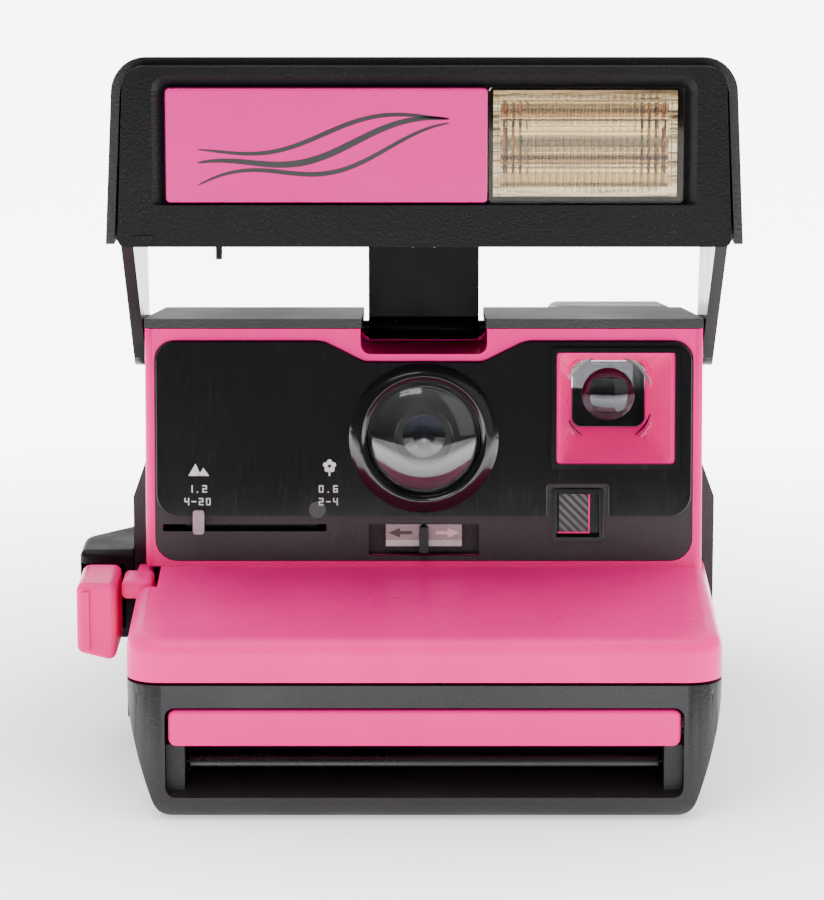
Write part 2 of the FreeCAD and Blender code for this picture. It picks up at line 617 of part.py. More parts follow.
def door_hinge_pins():
    def pin(sign):
        x0, x1 = sorted((sign * lug_x0, sign * (knuckle_x1 + 0.8)))
        return rod(hinge_pin_radius, x0, x1, hinge_depth, hinge_height)
    return both_sides(pin)


# ---- flash unit ----
flash_corner = 4.0
bevel_width, bevel_depth = 2.6, 2.0


def face_outline(grow, d0, d1, low=0.0):
    half_foot, half_top = face_half_foot + grow, face_half_top + grow
    top = flash_top - 1.5 + grow
    return rounded_front_plate([(-half_foot, flash_foot + low), (half_foot, flash_foot + low), (half_top, top),
                                (-half_top, top)], [1.5, 1.5, flash_corner, flash_corner], d0, d1)


def hood_solid(offset):
    """The hood's outside, or its inside when offset is the wall."""
    half_foot, half_top, top = hood_half_foot - offset, hood_half_top - offset, flash_top - offset
    low = hood_back_height - 1.0
    front_view = rounded_front_plate([(-half_foot, low), (half_foot, low), (half_top, top), (-half_top, top)],
                                     [0, 0, hood_corner - offset * 0.6, hood_corner - offset * 0.6], 0, 100)
    run = hood_back_depth - flash_front - 4.0
    side_view = side_prism([(flash_front + 4.0 - offset, low), (flash_front + 4.0 - offset, top + 1),
                            (flash_front + 4.0, flash_top - offset), (hood_back_depth - offset, hood_back_height
                            + 0.5 - offset * 0.2), (hood_back_depth - offset, low)], -80, 80)
    drop = side_prism([(flash_front - 1, 0), (flash_front - 1, flash_foot), (flash_front + 9, flash_foot),
                       (flash_front + run, low + 0.6), (100, low + 0.6), (100, 0)], -80, 80)
    return cut(front_view.common(side_view), drop)


def flash_hood():
    """Black hood that wraps the flash from above and behind."""
    shell = hood_solid(0).cut(hood_solid(1.7))
    rear = block(-hood_half_foot - 1, hood_half_foot + 1, flash_front + 40, 120, 0, hood_back_height - 0.4)
    return cut(shell, rear, face_outline(0.01, flash_front, flash_front + 4.6)).removeSplitter()


def flash_bezel():
    """Black face plate with a bevelled recess for the badge and the flash window."""
    plate = face_outline(0, flash_front, flash_front + 4.6)
    plate = plate.cut(face_outline(-0.4, flash_front + 3.4, flash_front + 6, low=-2).cut(
        face_outline(-2.4, 0, 100, low=2)))
    outer = [(-window_half - bevel_width, window_low - 0.4), (window_half + bevel_width, window_low - 0.4),
             (window_half + bevel_width, window_high + bevel_width), (-window_half - bevel_width,
             window_high + bevel_width)]
    inner = [(-window_half - 0.3, window_low - 0.3), (window_half + 0.3, window_low - 0.3),
             (window_half + 0.3, window_high + 0.3), (-window_half - 0.3, window_high + 0.3)]
    mouth = rounded_outline([at(x, flash_front - 0.01, z) for x, z in outer], [0.8, 0.8, 3.2, 3.2])
    bottom = rounded_outline([at(x, flash_front + bevel_depth, z) for x, z in inner], [0.4, 0.4, 1.4, 1.4])
    plate = plate.cut(Part.makeLoft([mouth, bottom], True))
    badge_seat = rounded_box_front(-window_half - 0.05, window_split, window_low - 0.05, window_high + 0.05, 0.8,
                                   flash_front + bevel_depth - 0.1, flash_front + bevel_depth + 1.4)
    window_hole = rounded_box_front(window_split + 0.05, window_half + 0.05, window_low - 0.05,
                                    window_high + 0.05, 0.8, flash_front, flash_front + 6)
    catch = block(-40.4, -39.2, flash_front + 1.2, flash_front + 3.2, flash_foot - 2.6, flash_foot + 0.5)
    tab = block(-face_half_foot + 3, -face_half_foot + 7, flash_front - 0.25, flash_front + 0.5, flash_foot + 0.8,
                flash_foot + 2.2)
    return fuse(cut(plate, badge_seat, window_hole), tab, catch)


def flash_floor():
    """Closes the flash head below and behind."""
    knee = flash_front + 30
    floor = side_prism([(flash_front + 4.8, flash_foot), (flash_front + 4.8, flash_foot + 1.4), (knee, flash_foot
                       + 1.4), (hood_back_depth - 6, hood_back_height + 1.2), (hood_back_depth - 6,
                       hood_back_height - 0.2), (knee, flash_foot)], -arm_inner, arm_inner)
    return floor


def flash_badge():
    plate = rounded_box_front(-window_half, window_split - 0.15, window_low, window_high, 0.8,
                              flash_front + 0.5, flash_front + bevel_depth + 1.4)
    return soften(plate, 0.5, lambda e: e.BoundBox.YMax < front + flash_front + 0.51)


def flash_lens():
    """Clear ribbed window over the reflector."""
    x0, x1 = window_split + 0.15, window_half
    plate = rounded_box_front(x0, x1, window_low, window_high, 0.8, flash_front + 0.7, flash_front + 3.0)
    pitch = 1.35
    count = int((x1 - x0 - 2.4) / pitch)
    ribs = [front_rib(x0 + 1.5 + pitch * i, pitch) for i in range(count)]
    return plate.cut(Part.makeCompound(ribs))


def front_rib(x, pitch):
    loop = [at(x, flash_front + 0.6, window_low + 1.2), at(x + pitch * 0.5, flash_front + 1.05,
            window_low + 1.2), at(x + pitch * 0.96, flash_front + 0.6, window_low + 1.2)]
    return Part.Face(Part.makePolygon(loop + loop[:1])).extrude(Vec(0, 0, window_high - window_low - 2.4))


def flash_reflector():
    """Bright trough round the flash tube."""
    x0, x1 = window_split + 1.0, window_half - 1.0
    z0, z1, mid = window_low + 0.8, window_high - 0.8, (window_low + window_high) / 2
    lip, back = flash_front + 5.0, flash_front + 13.0
    outer = side_prism([(lip, z0), (lip, z1), (back - 2, mid + 5), (back, mid + 2), (back, mid - 2),
                        (back - 2, mid - 5)], x0, x1)
    inner = side_prism([(lip - 1, z0 + 1.0), (lip - 1, z1 - 1.0), (back - 3, mid + 4.2), (back - 1, mid + 1.6),
                        (back - 1, mid - 1.6), (back - 3, mid - 4.2)], x0 + 1, x1 - 1)
    return outer.cut(inner)


def flash_tube():
    mid = (window_low + window_high) / 2
    return rod(1.7, window_split + 2.0, window_half - 2.0, flash_front + 9.6, mid)


def flash_arm(sign):
    """Side arm from the hood down to the pivot."""
    boss = rod(boss_radius, -1, 1, pivot_depth, pivot_height)
    blade = side_prism([(flash_front + 6.0, flash_foot + 1.2), (pivot_depth - boss_radius * 0.72,
                       pivot_height - boss_radius * 0.7), (pivot_depth + boss_radius * 0.95, pivot_height
                       + boss_radius * 0.3), (hood_back_depth - 1.2, hood_back_height + 0.2), (flash_front + 22,
                       flash_foot + 14), (flash_front + 8, flash_foot + 14)], -1, 1)
    side = fuse(boss, blade)
    width = arm_outer - arm_inner
    matrix = FreeCAD.Matrix()
    matrix.A11 = width / 2
    side = side.transformGeometry(matrix)
    side.translate(Vec(sign * (arm_outer + arm_inner) / 2, 0, 0))
    return side.cut(rod(pin_radius + pin_play, -80, 80, pivot_depth, pivot_height))


def pivot_pins():
    """Fixed studs in the deck's sides that the flash arms turn on, and the neck's pin between the tray walls."""
    def pin(sign):
        x0, x1 = sorted((sign * (top_half - 5.0), sign * (arm_outer - 0.1)))
        return rod(pin_radius, x0, x1, pivot_depth, pivot_height)
    middle = rod(1.25, -recess_half - tray_wall, recess_half + tray_wall, pivot_depth, pivot_height)
    return Part.makeCompound([pin(1), pin(-1), middle])


def flash_arms():
    return both_sides(flash_arm).cut(flash_hood())


def neck():
    """Black central link, rigid with the flash, that lies in the recess when closed."""
    plate = side_prism([(pivot_depth - 1.5, pivot_height), (pivot_depth - 1.5, flash_foot - 3.4), (pivot_depth
                       - 8.0, flash_foot - 1.6), (flash_front + 16, flash_foot - 0.4), (flash_front + 16,
                       flash_foot + 1.0), (pivot_depth - 4.0, flash_foot + 0.4), (pivot_depth + 1.5, flash_foot
                       - 3.0), (pivot_depth + 1.5, pivot_height)], -neck_half, neck_half)
    barrel = rod(2.7, -neck_half, neck_half, pivot_depth, pivot_height)
    body = fuse(plate, barrel, flash_floor())
    return cut(body, rod(1.33, -20, 20, pivot_depth, pivot_height), flash_hood())


# ---- panel pieces ----
def faceplate():
    """Matte black plate over the panel."""
    plate = plate_outline(plate_low, 0, pocket - plate_thickness - 0.02, plate_thickness)
    for hole in panel_openings(0.0, -2, 5):
        plate = plate.cut(hole)
    return on_panel(plate)


def front_window():
    """Glossy black plate over the upper part of the faceplate."""
    depth = pocket - plate_thickness - 0.02 - gloss_thickness
    plate = plate_outline(gloss_low, 0.25, depth, gloss_thickness)
    for hole in panel_openings(0.05, -2, 5):
        plate = plate.cut(hole)
    plate = plate.cut(upright_box(cell_x0 - 0.9, cell_x1 + 0.9, gloss_low - 3, cell_u1 + 0.9, 0.6, -2, 4))
    return on_panel(plate)


def lens_ring():
    """Bezel round the lens, screwed to the panel through its sleeve."""
    profile = [(lens_ring_inner, -1.6), (lens_ring_inner + 1.0, -2.4), (lens_ring_outer - 1.6, -2.1),
               (lens_ring_outer, -1.1), (lens_ring_outer, -0.86), (lens_ring_inner + 1.1, -0.86),
               (lens_ring_inner + 1.1, 3.6), (lens_ring_inner, 3.6)]
    return on_panel(turned(profile))


def turned(profile):
    """A solid turned about the lens axis from (radius, depth) points."""
    loop = [Vec(r, front + d, lens_up) for r, d in profile]
    face = Part.Face(Part.makePolygon(loop + loop[:1]))
    return face.revolve(Vec(0, 0, lens_up), ALONG_Y, 360)


def lens_dome():
    """Clear domed front element."""
    edge, rise, thick = lens_ring_inner - 0.05, 1.9, 1.4
    outer = [(0, -1.2 - rise), (edge * 0.45, -1.2 - rise * 0.86), (edge * 0.78, -1.2 - rise * 0.46),
             (edge, -0.6)]
    inner = [(edge, 0.8), (edge * 0.78, -1.2 - rise * 0.46 + thick), (edge * 0.45, -1.2 - rise * 0.86
             + thick), (0, -1.2 - rise + thick)]
    front_curve, rear_curve = Part.BSplineCurve(), Part.BSplineCurve()
    front_curve.interpolate([Vec(r, front + d, lens_up) for r, d in outer])
    rear_curve.interpolate([Vec(r, front + d, lens_up) for r, d in inner])
    axis_line = Part.makeLine(Vec(0, front + inner[-1][1], lens_up), Vec(0, front + outer[0][1], lens_up))
    rim = Part.makeLine(Vec(edge, front + outer[-1][1], lens_up), Vec(edge, front + inner[0][1], lens_up))
    wire = Part.Wire([front_curve.toShape(), rim, rear_curve.toShape(), axis_line])
    return on_panel(Part.Face(wire).revolve(Vec(0, 0, lens_up), ALONG_Y, 360))


def lens_barrel():
    """Stepped black mask behind the dome, with the light tube of the taking lens."""
    profile = [(6.0, 2.0), (lens_ring_inner - 0.05, 1.2), (lens_ring_inner - 0.05, 2.8), (6.6, 2.8), (6.6, 3.6),
               (4.4, 3.6), (4.4, 2.4), (6.0, 2.4)]
    return on_panel(turned(profile))


def taking_lens():
    profile = [(0, 2.2), (2.2, 2.3), (4.35, 2.7), (4.35, 3.5), (0, 3.5)]
    return on_panel(turned(profile))


shutter_front, shutter_back, shutter_half_width, shutter_half_height = 5.2, 8.6, 21.0, 10.5
blade_thickness = 0.4


def shutter_housing():
    """Flat black case between the lens and the dark box, with a pocket for the two blades."""
    case = upright_box(-shutter_half_width, shutter_half_width, lens_up - shutter_half_height, lens_up
                       + shutter_half_height, 1.5, shutter_front, shutter_back - shutter_front)
    pocket_way = upright_box(-shutter_half_width + 1.0, shutter_half_width - 1.0, lens_up - 7.5, lens_up + 7.5, 0.5,
                             shutter_front + 0.8, shutter_back - shutter_front - 1.6)
    hole = upright_disc(4.0, 0, lens_up, -5, 30)
    return on_panel(cut(case, pocket_way, hole))


def shutter_blade(sign):
    depth = shutter_front + 0.8 + (0.2 if sign > 0 else 1.0)
    x0, x1 = sorted((sign * -1.0, sign * 11.0))
    return on_panel(upright_box(x0, x1, lens_up - 7.0, lens_up + 7.0, 0.6, depth, blade_thickness))


def finder_frame():
    """Pink surround that leads into the viewfinder."""
    outer = upright_box(finder_x0, finder_x1, finder_u0, finder_u1, 1.5, -0.9, 8.0)
    mouth = [(finder_x0 + 0.8, finder_u0 + 0.8), (finder_x1 - 0.8, finder_u0 + 0.8), (finder_x1 - 0.8,
             finder_u1 - 0.8), (finder_x0 + 0.8, finder_u1 - 0.8)]
    throat = [(finder_x0 + 3.4, finder_u0 + 7.4), (finder_x1 - 5.8, finder_u0 + 7.4), (finder_x1 - 5.8,
              finder_u1 - 2.8), (finder_x0 + 3.4, finder_u1 - 2.8)]
    near = rounded_outline([Vec(x, front - 0.92, u) for x, u in mouth], [1.2] * 4)
    far = rounded_outline([Vec(x, front + 6.4, u) for x, u in throat], [2.0] * 4)
    tunnel = Part.makeLoft([near, far], True)
    back = upright_box(finder_x0 + 3.4, finder_x1 - 5.8, finder_u0 + 7.4, finder_u1 - 2.8, 2.0, 6.0, 3)
    return on_panel(cut(outer, tunnel, back))


def finder_glass():
    return on_panel(upright_box(finder_x0 + 3.5, finder_x1 - 5.9, finder_u0 + 7.5, finder_u1 - 2.9, 1.9,
                                6.1, 0.9))


def finder_tube():
    """Square tube from the finder's window back to the eyepiece."""
    x0, x1 = finder_x0 + 2.2, finder_x1 - 4.6
    near = panel_point(0, 7.3, finder_u0 + 6.2)
    tube = block(x0, x1, near[1] + 1.6, finder_bump_back - wall - 4.2, near[2], near[2] + 17.4)
    inside = block(x0 + 1.0, x1 - 1.0, near[1], finder_bump_back, near[2] + 1.0, near[2] + 16.4)
    return tube.cut(inside)


def eyepiece():
    """Rear lens and its rim in the hump's rear face."""
    return block(finder_x0 + 5.05, finder_x1 - 4.05, finder_bump_back - wall - 0.2, finder_bump_back - 0.6,
                 deck_top - 26.95, deck_top - 11.55)


def eyepiece_rim():
    x0, x1, z0, z1 = finder_x0 + 5, finder_x1 - 4, deck_top - 27, deck_top - 11.5
    rim = block(x0 - 1.4, x1 + 1.4, finder_bump_back - 0.2, finder_bump_back + 1.6, z0 - 1.4, z1 + 1.4)
    rim = rim.cut(block(x0 + 0.4, x1 - 0.4, 0, 200, z0 + 0.4, z1 - 0.4))
    return rim


def cell_frame():
    """Clear window's surround for the electric eye."""
    outer = upright_box(cell_x0, cell_x1, cell_u0, cell_u1, 0.8, -0.6, 4.4)
    inner = upright_box(cell_x0 + 0.9, cell_x1 - 0.9, cell_u0 + 0.9, cell_u1 - 0.9, 0.4, -1, 3.6)
    return on_panel(outer.cut(inner))


def light_cell():
    return on_panel(upright_box(cell_x0 + 1.6, cell_x1 - 3.1, cell_u0 + 1.8, cell_u1 - 1.2, 0.3, 1.0, 1.55))


# ---- exposure control ----
dial_travel = 3.0


def exposure_slider():
    """Two arrow plates on one bar, with a fin to push."""
    reach = dial_half - dial_travel - 0.4
    low, high = dial_u0 + 2.2, dial_u1 - 0.3
    mid = (low + high) / 2
    def arrow(sign):
        loop = [Vec(sign * 1.0, front + 0.1, low), Vec(sign * 1.0, front + 0.1, high), Vec(sign * (reach
                - 3.2), front + 0.1, high), Vec(sign * reach, front + 0.1, mid), Vec(sign * (reach - 3.2),
                front + 0.1, low)]
        return Part.Face(Part.makePolygon(loop + loop[:1])).extrude(Vec(0, 1.5, 0))
    bar = upright_box(-reach + 2, reach - 2, low - 0.5, high + 0.1, 0.3, 1.5, 0.9)
    return on_panel(fuse(arrow(1), arrow(-1), bar))


def exposure_fin():
    return on_panel(upright_box(-0.95, 0.95, dial_u0 + 0.6, dial_u1 - 0.4, 0.3, -1.9, 3.35))


def exposure_well():
    """Dark tray behind the exposure control."""
    outer = upright_box(-dial_half - 1.4, dial_half + 1.4, dial_u0 - 1.2, dial_u1 + 1.4, 0.5, 2.4, 1.1)
    inner = upright_box(-dial_half - 0.4, dial_half + 0.4, dial_u0, dial_u1 + 0.4, 0.4, 2.0, 1.0)
    return on_panel(outer.cut(inner))


# ---- close-up lens slider ----
carrier_depth = 3.7


def close_up_tab():
    """Grip of the close-up lens, in front of the faceplate's slot."""
    tab = upright_box(tab_x - 1.15, tab_x + 1.15, slot_u - slot_half - 0.3, slot_u + 3.8, 0.6, -2.5, 1.6)
    stem = upright_box(tab_x - 0.9, tab_x + 0.9, slot_u - slot_half + 0.1, slot_u + slot_half - 0.1, 0.2, -1.0,
                       carrier_depth + 1.2)
    return on_panel(fuse(tab, stem))


def close_up_carrier():
    """Sliding plate behind the panel with a ring for the close-up lens."""
    ring_x = -close_up_travel
    plate = upright_box(tab_x - 3, ring_x + 2, slot_u - 2.2, slot_u + 2.2, 1.0, carrier_depth + 0.2, 0.8)
    riser = upright_box(ring_x - 7.0, ring_x - 1.0, slot_u - 2.2, lens_up, 0.8, carrier_depth + 0.2, 0.8)
    ring = upright_disc(7.2, ring_x, lens_up, carrier_depth + 0.2, 0.8)
    carrier = fuse(plate, riser, ring).cut(upright_disc(6.0, ring_x, lens_up, 0, 9))
    return on_panel(carrier)


def close_up_lens():
    return on_panel(upright_disc(5.98, -close_up_travel, lens_up, carrier_depth + 0.2, 0.8))


# ---- shutter side housing and buttons ----
shutter_button_front, shutter_button_back = housing_front - 21.8, housing_front - 4.5
housing_x0, housing_back = -rear_half - 10.9, housing_front + 26.0


def side_housing():
    """Black housing on the left side that the shutter button slides into."""
    outer = plan_prism([(housing_x0, housing_front), (-rear_half + 0.0, housing_front), (-rear_half,
                       housing_back), (-rear_half - 1.0, housing_back), (housing_x0, housing_front + 14)],
                       [1.5, 0, 0, 0, 6.0], button_low + 2.8, button_high + 1.6)
    outer = soften(outer, 1.5, lambda e: e.BoundBox.ZLength < 1e-3 and e.BoundBox.XMax < -rear_half - 0.9
                   and e.BoundBox.YMin > front + housing_front + 0.9)
    bore = block(button_x0 - free, button_x1 + free, housing_front - 1, housing_front + 9.5, button_low + 5.2,
                 button_high - 1.2)
    return outer.cut(bore)


def shutter_button():
    """Pink button with an upright ridge, in front of the side housing."""
    low, high = button_low + 5.9, button_high - 2.0
    cap = front_prism([(button_x0 + 0.4, low - 0.6), (button_x1, low - 2.6), (button_x1, high + 1.6),
                       (button_x0 + 0.4, high + 1.6)], shutter_button_front, shutter_button_back)
    cap = soften(cap, 1.6, lambda e: e.BoundBox.YLength > 5)
    cap = soften(cap, 1.2, lambda e: e.BoundBox.YMax < front + shutter_button_front + 0.1)
    ridge = front_prism([(button_x0 + 1.6, low), (button_x0 + 3.0, low - 0.2), (button_x0 + 3.0, high),
                         (button_x0 + 1.6, high)], shutter_button_front - 0.8, shutter_button_front + 1)
    stem = block(button_x0 + 1.2, button_x1 - 1.0, shutter_button_back - 1, housing_front + 5.5, low + 0.6,
                 high - 0.4)
    return fuse(cap, ridge, stem)


no_flash_x0, no_flash_x1 = button_corner - 7.3, button_corner - 1.2


def no_flash_heights():
    return button_floor + 0.8, shelf_back - 0.6


def no_flash_button():
    """Small black button inside of the shutter button; its stem runs into the rear cover."""
    low, high = no_flash_heights()
    cap = rounded_box_front(no_flash_x0, no_flash_x1, low, high, 1.0, shutter_button_front + 5.0, 45.0)
    cap = soften(cap, 0.8, lambda e: e.BoundBox.YMax < front + shutter_button_front + 5.1)
    return cap.fuse(block(no_flash_x0 + 2.2, no_flash_x1 - 0.8, 44.0, 60.0, low + 1, high - 1))


def door_latch():
    """Thumb slide in the door's left side, with a flange inside that keeps it in."""
    inside = -base_half + wall + 1.8
    thumb = block(-base_half - 0.5, inside, latch_d0, latch_d1, latch_z0, latch_z1)
    flange = block(inside, inside + 1.0, latch_d0 - 1.6, latch_d1 + 1.6, latch_z0 - 1.2, latch_z1 + 1.0)
    return thumb.fuse(flange)


# ---- body insides ----
def film_frame():
    """Plate over the film chamber with the picture aperture."""
    half = chamber_half + 1.2
    plate = block(-half, half, door_depth + 16, body_depth - 8, chamber_top + 0.05,
                  chamber_top + 1.9)
    aperture = block(-39.5, 39.5, split_depth + 3, split_depth + 82, chamber_top - 1, chamber_top + 3)
    return plate.cut(aperture)


def dark_box():
    """Folded light path between the shutter, the mirror and the film."""
    def wedge(offset):
        low = chamber_top + 2.0
        side = side_prism([(58.2 + offset, low - 2 * offset), (58.2 + offset, 79 - offset), (74 - offset * 0.5, 79
                          - offset), (136 - offset * 1.8, 30 - offset), (136 - offset * 1.8, low - 2
                          * offset)], -60, 60)
        taper = Part.makeLoft([
            Part.makePolygon([at(x, d, low - 2) for x, d in ((-43.5 + offset, 40), (43.5 - offset, 40),
                             (43.5 - offset, 160), (-43.5 + offset, 160), (-43.5 + offset, 40))]),
            Part.makePolygon([at(x, d, 80) for x, d in ((-17 + offset, 40), (17 - offset, 40), (17 - offset,
                             160), (-17 + offset, 160), (-17 + offset, 40))])], True)
        return side.common(taper)
    case = cut(wedge(0), wedge(1.2))
    aim = Part.makeCylinder(9.0, 8, at(0, 56, panel_point(0, 10, lens_up)[2]), ALONG_Y)
    return case.cut(aim)


def mirror():
    """Flat mirror under the sloping back that turns the picture down onto the film."""
    fall = (79.0 - 30.0) / (136.0 - 74.0)
    tilt = math.degrees(math.atan(fall))
    length = 46.0
    glass = Part.makeBox(40.0, length, 1.4, Vec(-20.0, 0, 0))
    glass.rotate(Vec(0, 0, 0), ALONG_X, -tilt)
    glass.translate(at(0, 82.0, 79.0 - fall * 8.0 - 4.6))
    return glass


def circuit_board():
    board = block(-52.6, -46.0, split_depth + 8, split_depth + 66, 36.0, 37.4)
    return board


def flash_capacitor():
    return Part.makeCylinder(5.0, 34, at(-50.3, split_depth + 6, 48.0), ALONG_Y)


def counter_wheel():
    """Drum with the picture count under its window."""
    return rod(6.0, 46.6, 53.4, counter_depth, counter_height()).cut(rod(1.56, 40, 60, counter_depth,
                                                                        counter_height()))


counter_depth = 119.0


def counter_height():
    return slope_height(counter_depth) - 13.2


def counter_shaft():
    low, height = chamber_top + 1.9, counter_height()
    shaft = rod(1.5, 44.3, 55.4, counter_depth, height)
    leg = block(44.0, 45.6, counter_depth - 2, counter_depth + 2, low + 0.05, height + 2)
    return fuse(shaft, leg)


def pick_arm():
    """Hook that pushes the film out of its pack."""
    arm = block(-49.9, -49.1, 88.0, 126.0, 24.6, 29.0)
    hook = block(-49.9, -48.7, 124.4, 126.0, 22.4, 26.0)
    return fuse(arm, hook)


def battery_contacts():
    """Two springy strips in the chamber's floor that meet the pack's battery."""
    def strip(x):
        return block(x - 2, x + 2, 118, 136, chamber_floor + 0.05, chamber_floor + 0.5)
    return Part.makeCompound([strip(-18.0), strip(18.0)])


def rubber_feet():
    return Part.makeCompound([Part.makeCylinder(3.45, 0.75, at(x, d, 0), ALONG_Z) for x, d in foot_places()])


def screw_posts():
    """Posts inside the rear cover that the four screws bite into."""
    posts = []
    for x, d in screw_places():
        x0, x1 = sorted((x, math.copysign(rear_half - 0.8, x)))
        post = fuse(Part.makeCylinder(2.9, 28.0, at(x, d, 6.0), ALONG_Z),
                    block(x0, x1, d - 1, d + 1, shell_foot + 0.1, 34.0))
        posts.append(post.cut(Part.makeCylinder(1.2, 12, at(x, d, 5), ALONG_Z)))
    return posts


def body_screws():
    """Four screws that hold the base to the rear cover."""
    def screw(x, d):
        head = Part.makeCylinder(2.2, 1.2, at(x, d, 1.4), ALONG_Z)
        shank = Part.makeCylinder(1.2, 12.0, at(x, d, 1.4), ALONG_Z)
        slot = block(x - 2.3, x + 2.3, d - 0.3, d + 0.3, 1.3, 1.9)
        return shank.fuse(head).cut(slot)
    return Part.makeCompound([screw(x, d) for x, d in screw_places()])


def counter_window():
    return counter_window_cutter(0.05, 2.6)


# ---- the whole camera ----
def pieces():
    return {
        "base_chassis": base_chassis(), "front_shell": front_shell(), "rear_cover": rear_cover(),
        "side_housing": side_housing(), "faceplate": faceplate(),
        "front_window": front_window(), "lens_ring": lens_ring(), "lens_dome": lens_dome(),
        "lens_barrel": lens_barrel(), "taking_lens": taking_lens(), "shutter_housing": shutter_housing(),
        "shutter_blade_right": shutter_blade(1), "shutter_blade_left": shutter_blade(-1),
        "viewfinder_frame": finder_frame(), "viewfinder_window": finder_glass(),
        "viewfinder_tube": finder_tube(), "eyepiece_lens": eyepiece(),
        "light_cell_frame": cell_frame(), "light_cell": light_cell(), 
        "exposure_slider": exposure_slider(), "exposure_fin": exposure_fin(),
        "exposure_well": exposure_well(), "close_up_tab": close_up_tab(),
        "close_up_carrier": close_up_carrier(), "close_up_lens": close_up_lens(),
        "dark_box": dark_box(), "mirror": mirror(), "film_frame": film_frame(),
        "circuit_board": circuit_board(), 
        "flash_capacitor": flash_capacitor(), "counter_wheel": counter_wheel(),
        "counter_shaft": counter_shaft(), "counter_window": counter_window(), "pick_arm": pick_arm(),
        "battery_contacts": battery_contacts(), "rubber_feet": rubber_feet(), "body_screws": body_screws(),
        "motor": motor(), "motor_pinion": motor_pinion(),
        "idler_gear": idler_gear(), "gear_bracket": gear_bracket(), "roller_gear": roller_gear(),
        "upper_roller": upper_roller(), "lower_roller": lower_roller(),
        "door_shell": door_shell(), "slot_trim": slot_trim(), 
        "roller_frame": roller_frame(), 
        "door_hinge_pins": door_hinge_pins(), "door_latch": door_latch(),
        "shutter_button": shutter_button(), "no_flash_button": no_flash_button(),
        "flash_hood": flash_hood(), "flash_bezel": flash_bezel(), "flash_badge": flash_badge(),
        "flash_lens": flash_lens(), "flash_reflector": flash_reflector(), "flash_tube": flash_tube(),
        "flash_arms": flash_arms(), "flash_neck": neck(), "flash_pivot_pins": pivot_pins(),
    }


def main():
    os.makedirs("parts", exist_ok=True)
    for name, shape in pieces().items():
        shape.exportStep("parts/" + name + ".step")


main()
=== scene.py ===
"""Looks for the folding-flash instant camera, laid out as an add-on: one operator for each group of pieces.

All sizes are in metres. X runs to the right as the lens looks at you, Y runs back, Z is up.
"""
import math
import random

import bpy
from mathutils import Matrix, Vector


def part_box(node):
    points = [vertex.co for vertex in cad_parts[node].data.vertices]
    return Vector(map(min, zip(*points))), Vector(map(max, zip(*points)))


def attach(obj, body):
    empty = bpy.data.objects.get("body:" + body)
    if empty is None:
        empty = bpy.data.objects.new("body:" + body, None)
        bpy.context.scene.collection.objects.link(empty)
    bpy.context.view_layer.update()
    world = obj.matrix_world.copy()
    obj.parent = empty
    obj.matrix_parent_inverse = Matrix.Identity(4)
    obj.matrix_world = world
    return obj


bl_info = {
    "name": "Instant Camera Looks",
    "version": (1, 0, 0),
    "blender": (4, 5, 0),
    "location": "View3D > Sidebar > Camera",
    "description": "Finishes, small trim and studio for a folding-flash instant camera",
    "category": "Object",
}

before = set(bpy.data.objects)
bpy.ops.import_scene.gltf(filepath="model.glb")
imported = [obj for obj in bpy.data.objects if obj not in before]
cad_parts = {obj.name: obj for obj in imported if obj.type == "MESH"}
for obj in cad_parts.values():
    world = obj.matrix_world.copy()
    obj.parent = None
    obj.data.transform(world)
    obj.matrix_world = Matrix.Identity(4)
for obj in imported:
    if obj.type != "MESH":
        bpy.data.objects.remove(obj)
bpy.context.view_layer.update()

MM = 0.001
PANEL_LEAN = math.radians(5.0)
WINDOW_UP = 10.3 * MM                   # front window's lower edge above the panel's foot, along the panel
WINDOW_THICK = 0.9 * MM
LENS_UP = 26.3 * MM                     # lens axis above the panel's foot, along the panel


# ---- properties ----
class InstantCameraProperties(bpy.types.PropertyGroup):
    """Colours and sizes that a user would change."""
    pink: bpy.props.FloatVectorProperty(
        name="Pink", description="Colour of the pink shell", subtype="COLOR", size=3, min=0, max=1,
        default=(0.94, 0.0, 0.235))
    badge_pink: bpy.props.FloatVectorProperty(
        name="Badge pink", description="Colour of the badge beside the flash", subtype="COLOR", size=3, min=0,
        max=1, default=(0.60, 0.0, 0.19))
    charcoal: bpy.props.FloatVectorProperty(
        name="Charcoal", description="Colour of the grained black shell", subtype="COLOR", size=3, min=0, max=1,
        default=(0.0095, 0.009, 0.0108))
    panel_black: bpy.props.FloatVectorProperty(
        name="Panel black", description="Colour of the glossy front window", subtype="COLOR", size=3, min=0,
        max=1, default=(0.006, 0.006, 0.007))
    print_white: bpy.props.FloatVectorProperty(
        name="Print white", description="Colour of the scale's print", subtype="COLOR", size=3, min=0, max=1,
        default=(0.62, 0.62, 0.64))
    edge_round: bpy.props.FloatProperty(
        name="Edge rounding", description="Radius on the shells' sharp edges", unit="LENGTH", min=0.0,
        max=0.002, default=0.00045)
    grain_height: bpy.props.FloatProperty(
        name="Grain height", description="Depth of the grain on the black shell", unit="LENGTH", min=0.0,
        max=0.0005, default=0.00007)
    print_height: bpy.props.FloatProperty(
        name="Print height", description="How far printed marks stand off their plate", unit="LENGTH",
        min=0.00002, max=0.0003, default=0.00006)
    softbox_power: bpy.props.FloatProperty(
        name="Softbox power", description="Power of the main softbox in watts", subtype="POWER", min=0.0,
        max=200.0, default=9.0)


def look():
    return bpy.context.scene.instant_camera


